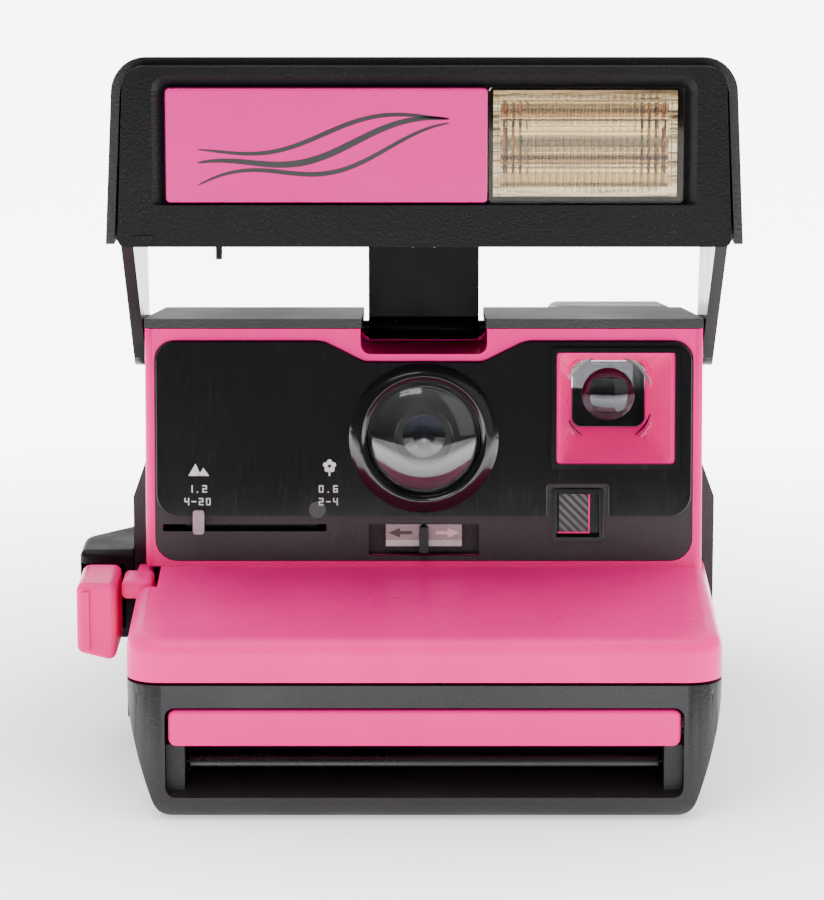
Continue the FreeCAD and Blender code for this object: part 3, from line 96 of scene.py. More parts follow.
# ---- node helpers ----
def new_group(name, inputs, outputs):
    """A shader node group with (name, kind, default) inputs and (name, kind) outputs."""
    group = bpy.data.node_groups.new(name, "ShaderNodeTree")
    for label, kind, value in inputs:
        socket = group.interface.new_socket(label, in_out="INPUT", socket_type=kind)
        socket.default_value = value
    for label, kind in outputs:
        group.interface.new_socket(label, in_out="OUTPUT", socket_type=kind)
    return group, group.nodes.new("NodeGroupInput"), group.nodes.new("NodeGroupOutput")


def add_node(tree, kind, values=None, **settings):
    node = tree.nodes.new(kind)
    for key, value in settings.items():
        setattr(node, key, value)
    for key, value in (values or {}).items():
        node.inputs[key].default_value = value
    return node


def math_node(tree, operation, first, second, clamp=False):
    node = add_node(tree, "ShaderNodeMath", operation=operation, use_clamp=clamp)
    for socket, value in zip(node.inputs, (first, second)):
        if isinstance(value, (int, float)):
            socket.default_value = value
        else:
            tree.links.new(value, socket)
    return node.outputs[0]


def spread(tree, source, low, high, new_low, new_high):
    """Maps a value from one range to another, held inside the new range."""
    node = add_node(tree, "ShaderNodeMapRange", {"From Min": low, "From Max": high})
    for label, value in (("To Min", new_low), ("To Max", new_high)):
        if isinstance(value, (int, float)):
            node.inputs[label].default_value = value
        else:
            tree.links.new(value, node.inputs[label])
    tree.links.new(source, node.inputs["Value"])
    return node.outputs["Result"]


def blend_colours(tree, factor, first, second, mode="MIX"):
    node = add_node(tree, "ShaderNodeMix", data_type="RGBA", blend_type=mode)
    tree.links.new(factor, node.inputs[0])
    for socket, value in ((node.inputs[6], first), (node.inputs[7], second)):
        if isinstance(value, (tuple, list)):
            socket.default_value = value
        else:
            tree.links.new(value, socket)
    return node.outputs[2]


# ---- shared effects ----
def moulded_skin_group():
    """Soft mottle in colour and sheen that moulded plastic shows, with a little settled dust."""
    group, source, sink = new_group(
        "moulded_skin",
        [("Colour", "NodeSocketColor", (0.8, 0.1, 0.3, 1)), ("Shade", "NodeSocketColor", (0.6, 0.05, 0.2, 1)),
         ("Mottle Scale", "NodeSocketFloat", 60.0), ("Smooth", "NodeSocketFloat", 0.3),
         ("Rough", "NodeSocketFloat", 0.45), ("Dust", "NodeSocketFloat", 0.1)],
        [("Colour", "NodeSocketColor"), ("Roughness", "NodeSocketFloat"), ("Height", "NodeSocketFloat")])
    place = add_node(group, "ShaderNodeTexCoord")
    mottle = add_node(group, "ShaderNodeTexNoise", {"Detail": 4.0, "Roughness": 0.6})
    group.links.new(place.outputs["Object"], mottle.inputs["Vector"])
    group.links.new(source.outputs["Mottle Scale"], mottle.inputs["Scale"])
    cloud = spread(group, mottle.outputs["Fac"], 0.35, 0.65, 0.0, 1.0)
    colour = blend_colours(group, cloud, source.outputs["Shade"], source.outputs["Colour"])
    flow = add_node(group, "ShaderNodeTexNoise", {"Scale": 900.0, "Detail": 2.0})
    group.links.new(place.outputs["Object"], flow.inputs["Vector"])
    speck = add_node(group, "ShaderNodeTexVoronoi", {"Scale": 320.0, "Randomness": 1.0})
    group.links.new(place.outputs["Object"], speck.inputs["Vector"])
    near = spread(group, speck.outputs["Distance"], 0.05, 0.11, 1.0, 0.0)
    sparse = spread(group, mottle.outputs["Fac"], 0.5, 0.62, 0.0, 1.0)
    facing = add_node(group, "ShaderNodeNewGeometry")
    split = add_node(group, "ShaderNodeSeparateXYZ")
    group.links.new(facing.outputs["Normal"], split.inputs[0])
    upward = spread(group, split.outputs["Z"], 0.2, 0.9, 0.15, 1.0)
    dust = math_node(group, "MULTIPLY", math_node(group, "MULTIPLY", near, sparse), upward)
    dust = math_node(group, "MULTIPLY", dust, source.outputs["Dust"])
    colour = blend_colours(group, dust, colour, (0.85, 0.8, 0.78, 1))
    sheen = spread(group, mottle.outputs["Fac"], 0.3, 0.7, source.outputs["Smooth"], source.outputs["Rough"])
    group.links.new(colour, sink.inputs["Colour"])
    group.links.new(math_node(group, "ADD", sheen, dust, clamp=True), sink.inputs["Roughness"])
    group.links.new(flow.outputs["Fac"], sink.inputs["Height"])
    return group


def pebble_grain_and_glints_group():
    """Fine pebbled grain of a black moulded shell, with painted highlight flecks on the tops of the pebbles
    where they would catch the light.
    """
    group, source, sink = new_group(
        "pebble_grain_and_glints",
        [("Colour", "NodeSocketColor", (0.02, 0.02, 0.02, 1)),
         ("Painted Glint", "NodeSocketColor", (0.2, 0.2, 0.22, 1)),
         ("Scale", "NodeSocketFloat", 1500.0), ("Painted Glint Amount", "NodeSocketFloat", 0.5),
         ("Smooth", "NodeSocketFloat", 0.35), ("Rough", "NodeSocketFloat", 0.6)],
        [("Colour", "NodeSocketColor"), ("Roughness", "NodeSocketFloat"), ("Height", "NodeSocketFloat")])
    place = add_node(group, "ShaderNodeTexCoord")
    pebble = add_node(group, "ShaderNodeTexVoronoi", feature="SMOOTH_F1")
    group.links.new(place.outputs["Object"], pebble.inputs["Vector"])
    group.links.new(source.outputs["Scale"], pebble.inputs["Scale"])
    wear = add_node(group, "ShaderNodeTexNoise", {"Scale": 45.0, "Detail": 5.0})
    group.links.new(place.outputs["Object"], wear.inputs["Vector"])
    fine = add_node(group, "ShaderNodeTexNoise", {"Scale": 2600.0, "Detail": 2.0})
    group.links.new(place.outputs["Object"], fine.inputs["Vector"])
    # Painted highlight: lighter flecks where the fine noise is high, on the grain's tops, stand in for light
    # glinting off them.
    painted_glint_tops = spread(group, fine.outputs["Fac"], 0.60, 0.74, 0.0, 1.0)
    painted_glint_amount = math_node(group, "MULTIPLY", painted_glint_tops, source.outputs["Painted Glint Amount"])
    patches = spread(group, wear.outputs["Fac"], 0.35, 0.7, 0.35, 1.0)
    painted_glint_amount = math_node(group, "MULTIPLY", painted_glint_amount, patches)
    colour = blend_colours(group, painted_glint_amount, source.outputs["Colour"], source.outputs["Painted Glint"])
    sheen = spread(group, wear.outputs["Fac"], 0.3, 0.7, source.outputs["Smooth"], source.outputs["Rough"])
    height = math_node(group, "ADD", math_node(group, "MULTIPLY", pebble.outputs["Distance"], 0.7),
                       math_node(group, "MULTIPLY", fine.outputs["Fac"], 0.5))
    group.links.new(colour, sink.inputs["Colour"])
    group.links.new(sheen, sink.inputs["Roughness"])
    group.links.new(height, sink.inputs["Height"])
    return group


def handling_marks_group():
    """Hairline scratches and faint smears that polished pieces pick up."""
    group, source, sink = new_group(
        "handling_marks",
        [("Scale", "NodeSocketFloat", 120.0), ("Stretch", "NodeSocketFloat", 12.0),
         ("Smooth", "NodeSocketFloat", 0.06), ("Rough", "NodeSocketFloat", 0.25)],
        [("Roughness", "NodeSocketFloat"), ("Height", "NodeSocketFloat"), ("Mask", "NodeSocketFloat")])
    place = add_node(group, "ShaderNodeTexCoord")
    split = add_node(group, "ShaderNodeSeparateXYZ")
    group.links.new(place.outputs["Object"], split.inputs[0])
    join = add_node(group, "ShaderNodeCombineXYZ")
    for axis in ("X", "Y"):
        stretched = math_node(group, "MULTIPLY", split.outputs[axis], source.outputs["Stretch"])
        group.links.new(stretched, join.inputs[axis])
    group.links.new(split.outputs["Z"], join.inputs["Z"])
    lines = add_node(group, "ShaderNodeTexNoise", {"Detail": 3.0})
    group.links.new(join.outputs[0], lines.inputs["Vector"])
    group.links.new(source.outputs["Scale"], lines.inputs["Scale"])
    smear = add_node(group, "ShaderNodeTexNoise", {"Scale": 38.0, "Detail": 3.0})
    group.links.new(place.outputs["Object"], smear.inputs["Vector"])
    mask = spread(group, lines.outputs["Fac"], 0.55, 0.75, 0.0, 1.0)
    haze = spread(group, smear.outputs["Fac"], 0.4, 0.75, 0.0, 0.6)
    both = math_node(group, "ADD", math_node(group, "MULTIPLY", mask, 0.5), haze, clamp=True)
    group.links.new(spread(group, both, 0.0, 1.0, source.outputs["Smooth"], source.outputs["Rough"]),
                    sink.inputs["Roughness"])
    group.links.new(lines.outputs["Fac"], sink.inputs["Height"])
    group.links.new(mask, sink.inputs["Mask"])
    return group


def shared_group(name):
    makers = {"moulded_skin": moulded_skin_group, "pebble_grain_and_glints": pebble_grain_and_glints_group,
              "handling_marks": handling_marks_group}
    return bpy.data.node_groups.get(name) or makers[name]()


def start_material(name, group_name, values, bump=0.0, **shader_values):
    """A Principled material whose roughness, and colour where the effect has one, come from a shared effect."""
    name = "finish_" + name
    material = bpy.data.materials.get(name)
    if material:
        return material
    material = bpy.data.materials.new(name)
    material.use_nodes = True
    tree = material.node_tree
    shader = tree.nodes["Principled BSDF"]
    for label, value in shader_values.items():
        shader.inputs[label.replace("_", " ")].default_value = value
    effect = add_node(tree, "ShaderNodeGroup")
    effect.node_tree = shared_group(group_name)
    effect.name = group_name
    for label, value in values.items():
        effect.inputs[label].default_value = value
    tree.links.new(effect.outputs["Roughness"], shader.inputs["Roughness"])
    if "Colour" in effect.outputs:
        tree.links.new(effect.outputs["Colour"], shader.inputs["Base Color"])
    if bump > 0:
        relief = add_node(tree, "ShaderNodeBump", {"Strength": 1.0, "Distance": bump})
        tree.links.new(effect.outputs["Height"], relief.inputs["Height"])
        tree.links.new(relief.outputs["Normal"], shader.inputs["Normal"])
    return material


def opaque(colour):
    return (colour[0], colour[1], colour[2], 1.0)


def shaded(colour, share):
    return (colour[0] * share, colour[1] * share, colour[2] * share, 1.0)


# ---- finishes ----
def pink_shell_finish():
    return start_material("pink_shell", "moulded_skin",
                          {"Colour": opaque(look().pink), "Shade": shaded(look().pink, 0.93),
                           "Mottle Scale": 55.0, "Smooth": 0.27, "Rough": 0.36, "Dust": 0.1},
                          bump=0.000012, Specular_IOR_Level=0.12)


def badge_finish():
    return start_material("badge_pink", "moulded_skin",
                          {"Colour": opaque(look().badge_pink), "Shade": shaded(look().badge_pink, 0.96),
                           "Mottle Scale": 30.0, "Smooth": 0.22, "Rough": 0.32, "Dust": 0.15},
                          bump=0.000008, Specular_IOR_Level=0.3)


def black_shell_finish():
    # The glint colour here is a painted highlight on the shell's grain.
    return start_material("black_shell", "pebble_grain_and_glints",
                          {"Colour": opaque(look().charcoal), "Painted Glint": (0.09, 0.088, 0.094, 1), "Scale": 1700.0,
                           "Painted Glint Amount": 0.35, "Smooth": 0.36, "Rough": 0.52},
                          bump=look().grain_height, Specular_IOR_Level=0.36)


def black_face_shaded_finish():
    # Painted shade: the shell's charcoal at 0.45 makes the flash's front face darker than the hood, which is
    # the same plastic. Its glint colour is also a painted highlight.
    return start_material("black_face_shaded", "pebble_grain_and_glints",
                          {"Colour": shaded(look().charcoal, 0.45), "Painted Glint": (0.055, 0.054, 0.058, 1),
                           "Scale": 2100.0, "Painted Glint Amount": 0.4, "Smooth": 0.33, "Rough": 0.46},
                          bump=look().grain_height * 0.8, Specular_IOR_Level=0.12)


def smooth_black_finish():
    return start_material("smooth_black", "moulded_skin",
                          {"Colour": shaded(look().charcoal, 0.8), "Shade": shaded(look().charcoal, 0.55),
                           "Mottle Scale": 70.0, "Smooth": 0.24, "Rough": 0.36, "Dust": 0.08},
                          bump=0.00001, Specular_IOR_Level=0.3)


def matte_panel_finish():
    # The glint colour here is a painted highlight on the faceplate's grain.
    return start_material("matte_panel", "pebble_grain_and_glints",
                          {"Colour": (0.020, 0.0145, 0.0165, 1), "Painted Glint": (0.10, 0.08, 0.09, 1),
                            "Scale": 2600.0,
                           "Painted Glint Amount": 0.5, "Smooth": 0.34, "Rough": 0.5},
                          bump=look().grain_height * 0.5, Specular_IOR_Level=0.35)


def gloss_panel_finish():
    """Polished black window with fine upright lines in it."""
    material = start_material("gloss_panel", "handling_marks",
                              {"Scale": 90.0, "Stretch": 22.0, "Smooth": 0.07, "Rough": 0.13}, bump=0.0000025,
                              Coat_Weight=0.2, Coat_Roughness=0.03)
    tree = material.node_tree
    shader = tree.nodes["Principled BSDF"]
    if not shader.inputs["Base Color"].is_linked:
        marks = tree.nodes["handling_marks"]
        dark = opaque(look().panel_black)
        colour = blend_colours(tree, marks.outputs["Mask"], dark, (0.011, 0.010, 0.0105, 1))
        tree.links.new(colour, shader.inputs["Base Color"])
    return material


def gloss_ring_finish():
    return start_material("gloss_ring", "handling_marks",
                          {"Scale": 160.0, "Stretch": 3.0, "Smooth": 0.12, "Rough": 0.24}, bump=0.000003,
                          Base_Color=(0.005, 0.005, 0.006, 1), Specular_IOR_Level=0.35, Coat_Weight=0.15,
                          Coat_Roughness=0.05)


def clear_finish(name, tint, smooth=0.01, rough=0.07, ior=1.49):
    return start_material(name, "handling_marks",
                          {"Scale": 200.0, "Stretch": 2.0, "Smooth": smooth, "Rough": rough},
                          Base_Color=tint, Transmission_Weight=1.0, IOR=ior)


def steel_finish(name="plain_steel", tint=(0.56, 0.56, 0.57, 1), smooth=0.22, rough=0.42):
    return start_material(name, "handling_marks",
                          {"Scale": 260.0, "Stretch": 5.0, "Smooth": smooth, "Rough": rough}, bump=0.000004,
                          Base_Color=tint, Metallic=1.0)


def plain_finish(name, colour, smooth=0.35, rough=0.55, **shader_values):
    return start_material(name, "moulded_skin",
                          {"Colour": colour, "Shade": shaded(colour, 0.85), "Mottle Scale": 120.0,
                           "Smooth": smooth, "Rough": rough, "Dust": 0.08},
                          bump=0.00001, **shader_values)


def print_finish():
    return plain_finish("white_print", opaque(look().print_white), 0.4, 0.6)


# ---- geometry helpers ----
def finish_node(name, material, rounding=0.0):
    """Gives a CAD node its finish and, where wanted, small rounded edges."""
    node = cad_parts[name]
    for slot in node.material_slots:
        slot.link = "OBJECT"
        slot.material = material
    if rounding > 0:
        weld = node.modifiers.new("weld", "WELD")
        weld.merge_threshold = 0.000002
        flat = node.modifiers.new("flat", "DECIMATE")
        flat.decimate_type = "DISSOLVE"
        flat.angle_limit = math.radians(0.4)
        bevel = node.modifiers.new("bevel", "BEVEL")
        bevel.width = rounding
        bevel.segments = 2
        bevel.limit_method = "ANGLE"
        bevel.angle_limit = math.radians(38)
        bevel.harden_normals = True
    return node


def new_piece(name, verts, faces, material, body, smooth=False):
    """A mesh piece that rides on a CAD body."""
    mesh = bpy.data.meshes.new(name)
    mesh.from_pydata([tuple(v) for v in verts], [], faces)
    mesh.validate()
    mesh.update()
    for polygon in mesh.polygons:
        polygon.use_smooth = smooth
    mesh.materials.append(material)
    piece = bpy.data.objects.new(name, mesh)
    bpy.context.scene.collection.objects.link(piece)
    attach(piece, body)
    return piece


def slab(outline, lift, thickness):
    """Vertices and faces of a thin plate from an (x, up) outline, its back at lift from the drawing plane."""
    count = len(outline)
    verts = [Vector((x, lift, up)) for x, up in outline]
    verts += [Vector((x, lift - thickness, up)) for x, up in outline]
    faces = [tuple(range(count)), tuple(range(2 * count - 1, count - 1, -1))]
    faces += [(i, i + count, (i + 1) % count + count, (i + 1) % count) for i in range(count)]
    return verts, faces


def join_slabs(slabs):
    verts, faces = [], []
    for part_verts, part_faces in slabs:
        base = len(verts)
        verts += part_verts
        faces += [tuple(base + i for i in face) for face in part_faces]
    return verts, faces


def panel_place():
    """Carries a drawing with its face at Y 0 and its foot at Z 0 onto the leaning front window's face."""
    low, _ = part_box("front_window")
    sine, cosine = math.sin(PANEL_LEAN), math.cos(PANEL_LEAN)
    edge = Vector((0, low.y, low.z + WINDOW_THICK * sine))
    foot = edge - WINDOW_UP * Vector((0, sine, cosine))
    return Matrix.Translation(foot) @ Matrix.Rotation(-PANEL_LEAN, 4, "X")


def face_lift(name):
    """How far behind the front window's face a node's own front face lies."""
    low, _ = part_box(name)
    return (panel_place().inverted() @ Vector((0, low.y, low.z))).y


def disc_outline(x, up, radius, steps=24):
    return [(x + radius * math.cos(2 * math.pi * i / steps), up + radius * math.sin(2 * math.pi * i / steps))
            for i in range(steps)]


def box_outline(x0, x1, up0, up1):
    return [(x0, up0), (x1, up0), (x1, up1), (x0, up1)]


# ---- body ----
class BodyShells(bpy.types.Operator):
    """Finish the pink front shell, the black rear cover, the base and the side housing."""
    bl_idname = "instant_camera.body_shells"
    bl_label = "Body shells"

    def execute(self, context):
        rounding = look().edge_round
        finish_node("front_shell", pink_shell_finish(), rounding * 0.7)
        finish_node("rear_cover", black_shell_finish(), rounding)
        finish_node("base_chassis", black_shell_finish(), rounding)
        # Painted shade: the side housing gets the shell's charcoal at half strength, so its front face reads
        # darker.
        finish_node("side_housing", plain_finish("housing_black_shaded", shaded(look().charcoal, 0.5), 0.4, 0.55,
                                                 Specular_IOR_Level=0.12), rounding)
        finish_node("rubber_feet", plain_finish("foot_rubber", (0.02, 0.02, 0.02, 1), 0.6, 0.8))
        finish_node("body_screws", steel_finish())
        finish_node("counter_window", clear_finish("counter_clear", (0.85, 0.85, 0.86, 1)))
        finish_node("eyepiece_lens", clear_finish("eyepiece_clear", (0.9, 0.9, 0.92, 1)))
        return {"FINISHED"}


class FrontPanel(bpy.types.Operator):
    """Finish the matte faceplate and the glossy window over it."""
    bl_idname = "instant_camera.front_panel"
    bl_label = "Front panel"

    def execute(self, context):
        finish_node("faceplate", matte_panel_finish(), 0.00012)
        finish_node("front_window", gloss_panel_finish(), 0.00022)
        return {"FINISHED"}


def place_on_panel(name, parts, material, body="camera_body", smooth=False):
    """Makes one piece from parts drawn flat on the panel."""
    verts, faces = join_slabs(parts)
    place = panel_place()
    return new_piece(name, [place @ v for v in verts], faces, material, body, smooth)


def mountain_mark(x, up, size):
    """Far-distance mark: two peaks."""
    return [[(x - size, up), (x - size * 0.3, up + size * 1.2), (x + size * 0.25, up)],
            [(x - size * 0.05, up), (x + size * 0.45, up + size * 0.8), (x + size, up)]]


def blossom_mark(x, up, size):
    """Near-distance mark: a flower with five petals and a stem."""
    shapes = []
    for i in range(5):
        angle = math.radians(90 + 72 * i)
        across, rise = size * 0.42 * math.cos(angle), size * 0.42 * math.sin(angle)
        shapes.append(disc_outline(x + across, up + size + rise, size * 0.27, 12))
    shapes.append(box_outline(x - size * 0.08, x + size * 0.08, up, up + size * 0.65))
    return shapes


def digit_strokes(character, x, up, width, height, stroke):
    """One plain seven-stroke digit, dot or dash, as box outlines."""
    segments = {"0": "abcdef", "1": "bc", "8": "abcdefg", "2": "abged", "4": "fgbc", "6": "afgedc", "-": "g"}
    if character == ".":
        return [box_outline(x + width * 0.35, x + width * 0.35 + stroke, up, up + stroke)]
    half = height / 2
    boxes = {
        "a": box_outline(x, x + width, up + height - stroke, up + height),
        "b": box_outline(x + width - stroke, x + width, up + half, up + height),
        "c": box_outline(x + width - stroke, x + width, up, up + half),
        "d": box_outline(x, x + width, up, up + stroke),
        "e": box_outline(x, x + stroke, up, up + half),
        "f": box_outline(x, x + stroke, up + half, up + height),
        "g": box_outline(x, x + width, up + half - stroke / 2, up + half + stroke / 2),
    }
    return [boxes[letter] for letter in segments[character]]


class DistanceMarks(bpy.types.Operator):
    """Printed marks and numbers that show what the close-up slide is for."""
    bl_idname = "instant_camera.distance_marks"
    bl_label = "Distance marks"

    def execute(self, context):
        thick = look().print_height
        lift = -0.01 * MM
        low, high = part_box("close_up_tab")
        far_x = (low.x + high.x) / 2
        near_x = far_x + 26.5 * MM
        mark_up, upper_row, lower_row = 18.6 * MM, 15.2 * MM, 12.6 * MM
        digit_width, digit_height, stroke, pitch = 0.95 * MM, 1.5 * MM, 0.24 * MM, 1.45 * MM
        shapes = mountain_mark(far_x, mark_up, 2.1 * MM) + blossom_mark(near_x, mark_up, 2.0 * MM)
        for text, x, up in (("1.2", far_x, upper_row), ("4-20", far_x, lower_row),
                            ("0.6", near_x, upper_row), ("2-4", near_x, lower_row)):
            start = x - pitch * len(text) / 2
            for i, character in enumerate(text):
                shapes += digit_strokes(character, start + i * pitch, up, digit_width, digit_height, stroke)
        place_on_panel("distance_marks", [slab(shape, lift, thick) for shape in shapes], print_finish())
        spot = slab(disc_outline(far_x + 24.0 * MM, 11.7 * MM, 1.7 * MM, 28), lift, thick * 0.6)
        place_on_panel("close_up_spot", [spot], plain_finish("spot_grey", (0.035, 0.033, 0.034, 1), 0.2, 0.3))
        return {"FINISHED"}


# ---- lens ----
def lathe(profile, steps, x, up):
    """A turned surface about an axis through (x, up) from (radius, depth) points, open at both ends."""
    verts, faces = [], []
    for i in range(steps):
        angle = 2 * math.pi * i / steps
        for radius, depth in profile:
            verts.append(Vector((x + radius * math.cos(angle), depth, up + radius * math.sin(angle))))
    row = len(profile)
    for i in range(steps):
        for j in range(row - 1):
            a, b = i * row + j, ((i + 1) % steps) * row + j
            faces.append((a, a + 1, b + 1, b))
    return verts, faces


class Lens(bpy.types.Operator):
    """Finish the lens ring, dome, barrel and taking lens, and add the stepped rings inside the dome."""
    bl_idname = "instant_camera.lens"
    bl_label = "Lens"

    def execute(self, context):
        finish_node("lens_ring", gloss_ring_finish(), 0.00015)
        finish_node("lens_dome", clear_finish("dome_clear", (0.97, 0.97, 0.98, 1), 0.0, 0.03))
        finish_node("lens_barrel", plain_finish("barrel_black", (0.012, 0.012, 0.013, 1), 0.25, 0.4))
        finish_node("taking_lens", clear_finish("taking_clear", (0.16, 0.18, 0.24, 1), 0.0, 0.02, 1.6))
        outer_radius, outer_depth, step_in, step_forward = 11.2, 1.02, 0.62, 0.05
        profile = []
        for i in range(9):
            radius = (outer_radius - i * step_in) * MM
            depth = (outer_depth - step_forward * i) * MM
            profile += [(radius, depth), (radius - 0.3 * MM, depth - 0.12 * MM),
                        (radius - 0.5 * MM, depth + 0.02 * MM)]
        place_on_panel("baffle_rings", [lathe(profile, 96, 0.0, LENS_UP)], gloss_ring_finish(),
                       smooth=True)
        return {"FINISHED"}


def arc(radius, first, last, step):
    """Sines and cosines, times radius, at even steps of an angle in degrees."""
    angles = [math.radians(a) for a in range(first, last, step)]
    return [(radius * math.sin(a), radius * math.cos(a)) for a in angles]


class Finder(bpy.types.Operator):
    """Finish the viewfinder's pink surround, window and tube, and add the rim, front lens and clear ring."""
    bl_idname = "instant_camera.finder"
    bl_label = "Viewfinder"

    def execute(self, context):
        finish_node("viewfinder_frame", pink_shell_finish(), 0.0003)
        # Painted shade: the clear window is tinted near black to stand for the dark tube behind it.
        finish_node("viewfinder_window", clear_finish("finder_clear_shaded_dark", (0.05, 0.05, 0.055, 1), 0.0, 0.03, 1.6))
        finish_node("viewfinder_tube", plain_finish("tube_black", (0.008, 0.008, 0.009, 1), 0.3, 0.5))
        low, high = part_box("viewfinder_frame")
        x0, x1, up0, up1 = low.x, high.x, 21.0 * MM, 43.6 * MM
        rim_width, rim_back, rim_thickness = 1.0 * MM, 0.1 * MM, 0.7 * MM
        left, right, below, above = x0 - rim_width, x1 + rim_width, up0 - rim_width, up1 + rim_width
        rim = [slab(box_outline(*sides), rim_back, rim_thickness) for sides in (
            (left, x0, below, above), (x1, right, below, above), (x0, x1, below, up0), (x0, x1, up1, above))]
        place_on_panel("finder_rim", rim, gloss_ring_finish())
        window_low, window_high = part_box("viewfinder_window")
        middle_x = (window_low.x + window_high.x) / 2
        on_panel = panel_place().inverted()
        foot = on_panel @ Vector((0, window_low.y, window_low.z))
        top = on_panel @ Vector((0, window_high.y, window_high.z))
        middle_up = (foot.z + top.z) / 2
        lens_radius, lens_stands_off = 9.0 * MM, 1.9 * MM
        bulge = [(out, foot.y - lens_stands_off + (lens_radius - back))
                 for out, back in arc(lens_radius, 1, 38, 4)]
        # Painted shade: the front lens is tinted dark for the same reason.
        place_on_panel("finder_lens", [lathe(bulge, 48, middle_x, middle_up)],
                       clear_finish("finder_lens_shaded_dark", (0.10, 0.10, 0.11, 1), 0.0, 0.03),
                       smooth=True)
        ring_radius, ring_half, ring_drop = 9.7 * MM, 0.9 * MM, 1.2 * MM
        ring = [(ring_radius + out, foot.y - (ring_half + up)) for up, out in arc(ring_half, 0, 361, 24)]
        place_on_panel("finder_ring", [lathe(ring, 72, middle_x, middle_up - ring_drop)],
                       clear_finish("ring_clear", (0.98, 0.96, 0.97, 1), 0.0, 0.03, 1.4),
                       smooth=True)
        return {"FINISHED"}


def diagonal_band(x0, x1, up0, up1, start, width):
    """The part of a rectangle where x + up from its lower left corner lies from start to start + width."""
    outline = [(x0, up0), (x1, up0), (x1, up1), (x0, up1)]
    for limit, sign in ((start, 1), (start + width, -1)):
        kept = []
        for k, point in enumerate(outline):
            after = outline[(k + 1) % len(outline)]
            here, there = (sign * (px - x0 + pu - up0 - limit) for px, pu in (point, after))
            if here >= 0:
                kept.append(point)
            if here * there < 0:
                share = here / (here - there)
                kept.append(tuple(here_at + (there_at - here_at) * share
                                  for here_at, there_at in zip(point, after)))
        outline = kept
    return outline


class LightCell(bpy.types.Operator):
    """Finish the light cell and lay slanted bars over it."""
    bl_idname = "instant_camera.light_cell"
    bl_label = "Light cell"

    def execute(self, context):
        finish_node("light_cell_frame", gloss_ring_finish(), 0.00015)
        finish_node("light_cell", plain_finish("cell_grey", (0.13, 0.127, 0.13, 1), 0.3, 0.5))
        low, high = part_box("light_cell")
        lift = face_lift("light_cell") - 0.05 * MM
        x0, x1 = low.x, high.x
        up0, up1 = 7.0 * MM, 14.7 * MM
        first_bar, bar_pitch, bar_width, bar_count = 0.4, 1.75, 0.85 * MM, 8
        bars = []
        for i in range(bar_count):
            outline = diagonal_band(x0, x1, up0, up1, (first_bar + i * bar_pitch) * MM, bar_width)
            if len(outline) > 2:
                bars.append(slab(outline, lift, 0.1 * MM))
        place_on_panel("cell_bars", bars, plain_finish("cell_dark", (0.008, 0.008, 0.009, 1), 0.2, 0.3))
        wide = 0.32 * MM
        edge = [slab(box_outline(x0 - wide, x1 + wide, up0 - wide, up0), lift, 0.3 * MM),
                slab(box_outline(x1, x1 + wide, up0, up1), lift, 0.3 * MM)]
        place_on_panel("cell_edge", edge, pink_shell_finish())
        return {"FINISHED"}


class ExposureControl(bpy.types.Operator):
    """Finish the exposure slide and add its two plates, each with a strip and an arrow."""
    bl_idname = "instant_camera.exposure_control"
    bl_label = "Exposure control"

    def execute(self, context):
        finish_node("exposure_slider", plain_finish("slide_grey", (0.42, 0.30, 0.33, 1), 0.25, 0.4,
                                                    Coat_Weight=0.3, Coat_Roughness=0.1), 0.00012)
        finish_node("exposure_fin", smooth_black_finish(), 0.00025)
        finish_node("exposure_well", matte_panel_finish())
        lift = face_lift("exposure_slider")
        plate, strip, print_thickness = 0.1 * MM, 0.05 * MM, 0.06 * MM
        _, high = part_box("exposure_slider")
        inner, reach = 0.5 * MM, high.x - 0.1 * MM

        def add_pair(name, up0, up1, back, thickness, material):
            sides = [slab(box_outline(x0, x1, up0, up1), back, thickness)
                     for x0, x1 in ((-reach, -inner), (inner, reach))]
            place_on_panel(name, sides, material, "exposure_slider")

        add_pair("exposure_plates", 4.1 * MM, 8.6 * MM, lift, plate,
                 plain_finish("plate_grey", (0.30, 0.20, 0.22, 1), 0.2, 0.35))
        add_pair("exposure_strips", 4.2 * MM, 5.4 * MM, lift - plate, strip,
                 plain_finish("strip_white", (0.5, 0.48, 0.47, 1), 0.2, 0.35))
        middle, neck_x, tip, tail = 6.9 * MM, reach - 2.9 * MM, reach - 0.5 * MM, 2.4 * MM
        head_half, shaft_half = 1.0 * MM, 0.35 * MM
        for name, side, material in (
                ("arrow_left", -1, plain_finish("arrow_dark", (0.05, 0.012, 0.022, 1), 0.3, 0.45)),
                ("arrow_right", 1, plain_finish("arrow_light", (0.62, 0.42, 0.47, 1), 0.3, 0.45))):
            head = [(side * neck_x, middle - head_half), (side * neck_x, middle + head_half),
                    (side * tip, middle)]
            shaft = [(side * tail, middle - shaft_half), (side * tail, middle + shaft_half),
                     (side * neck_x, middle + shaft_half), (side * neck_x, middle - shaft_half)]
            place_on_panel(name, [slab(outline, lift - plate, print_thickness) for outline in (head, shaft)],
                           material, "exposure_slider")
        return {"FINISHED"}


class CloseUpSlide(bpy.types.Operator):
    """Finish the clear close-up tab, its carrier and its lens."""
    bl_idname = "instant_camera.close_up_slide"
    bl_label = "Close-up slide"

    def execute(self, context):
        finish_node("close_up_tab", plain_finish("tab_frosted", (0.66, 0.52, 0.55, 1), 0.12, 0.25,
                                                 Transmission_Weight=0.5), 0.00025)
        finish_node("close_up_carrier", smooth_black_finish())
        finish_node("close_up_lens", clear_finish("close_up_clear", (0.9, 0.92, 0.93, 1)))
        return {"FINISHED"}


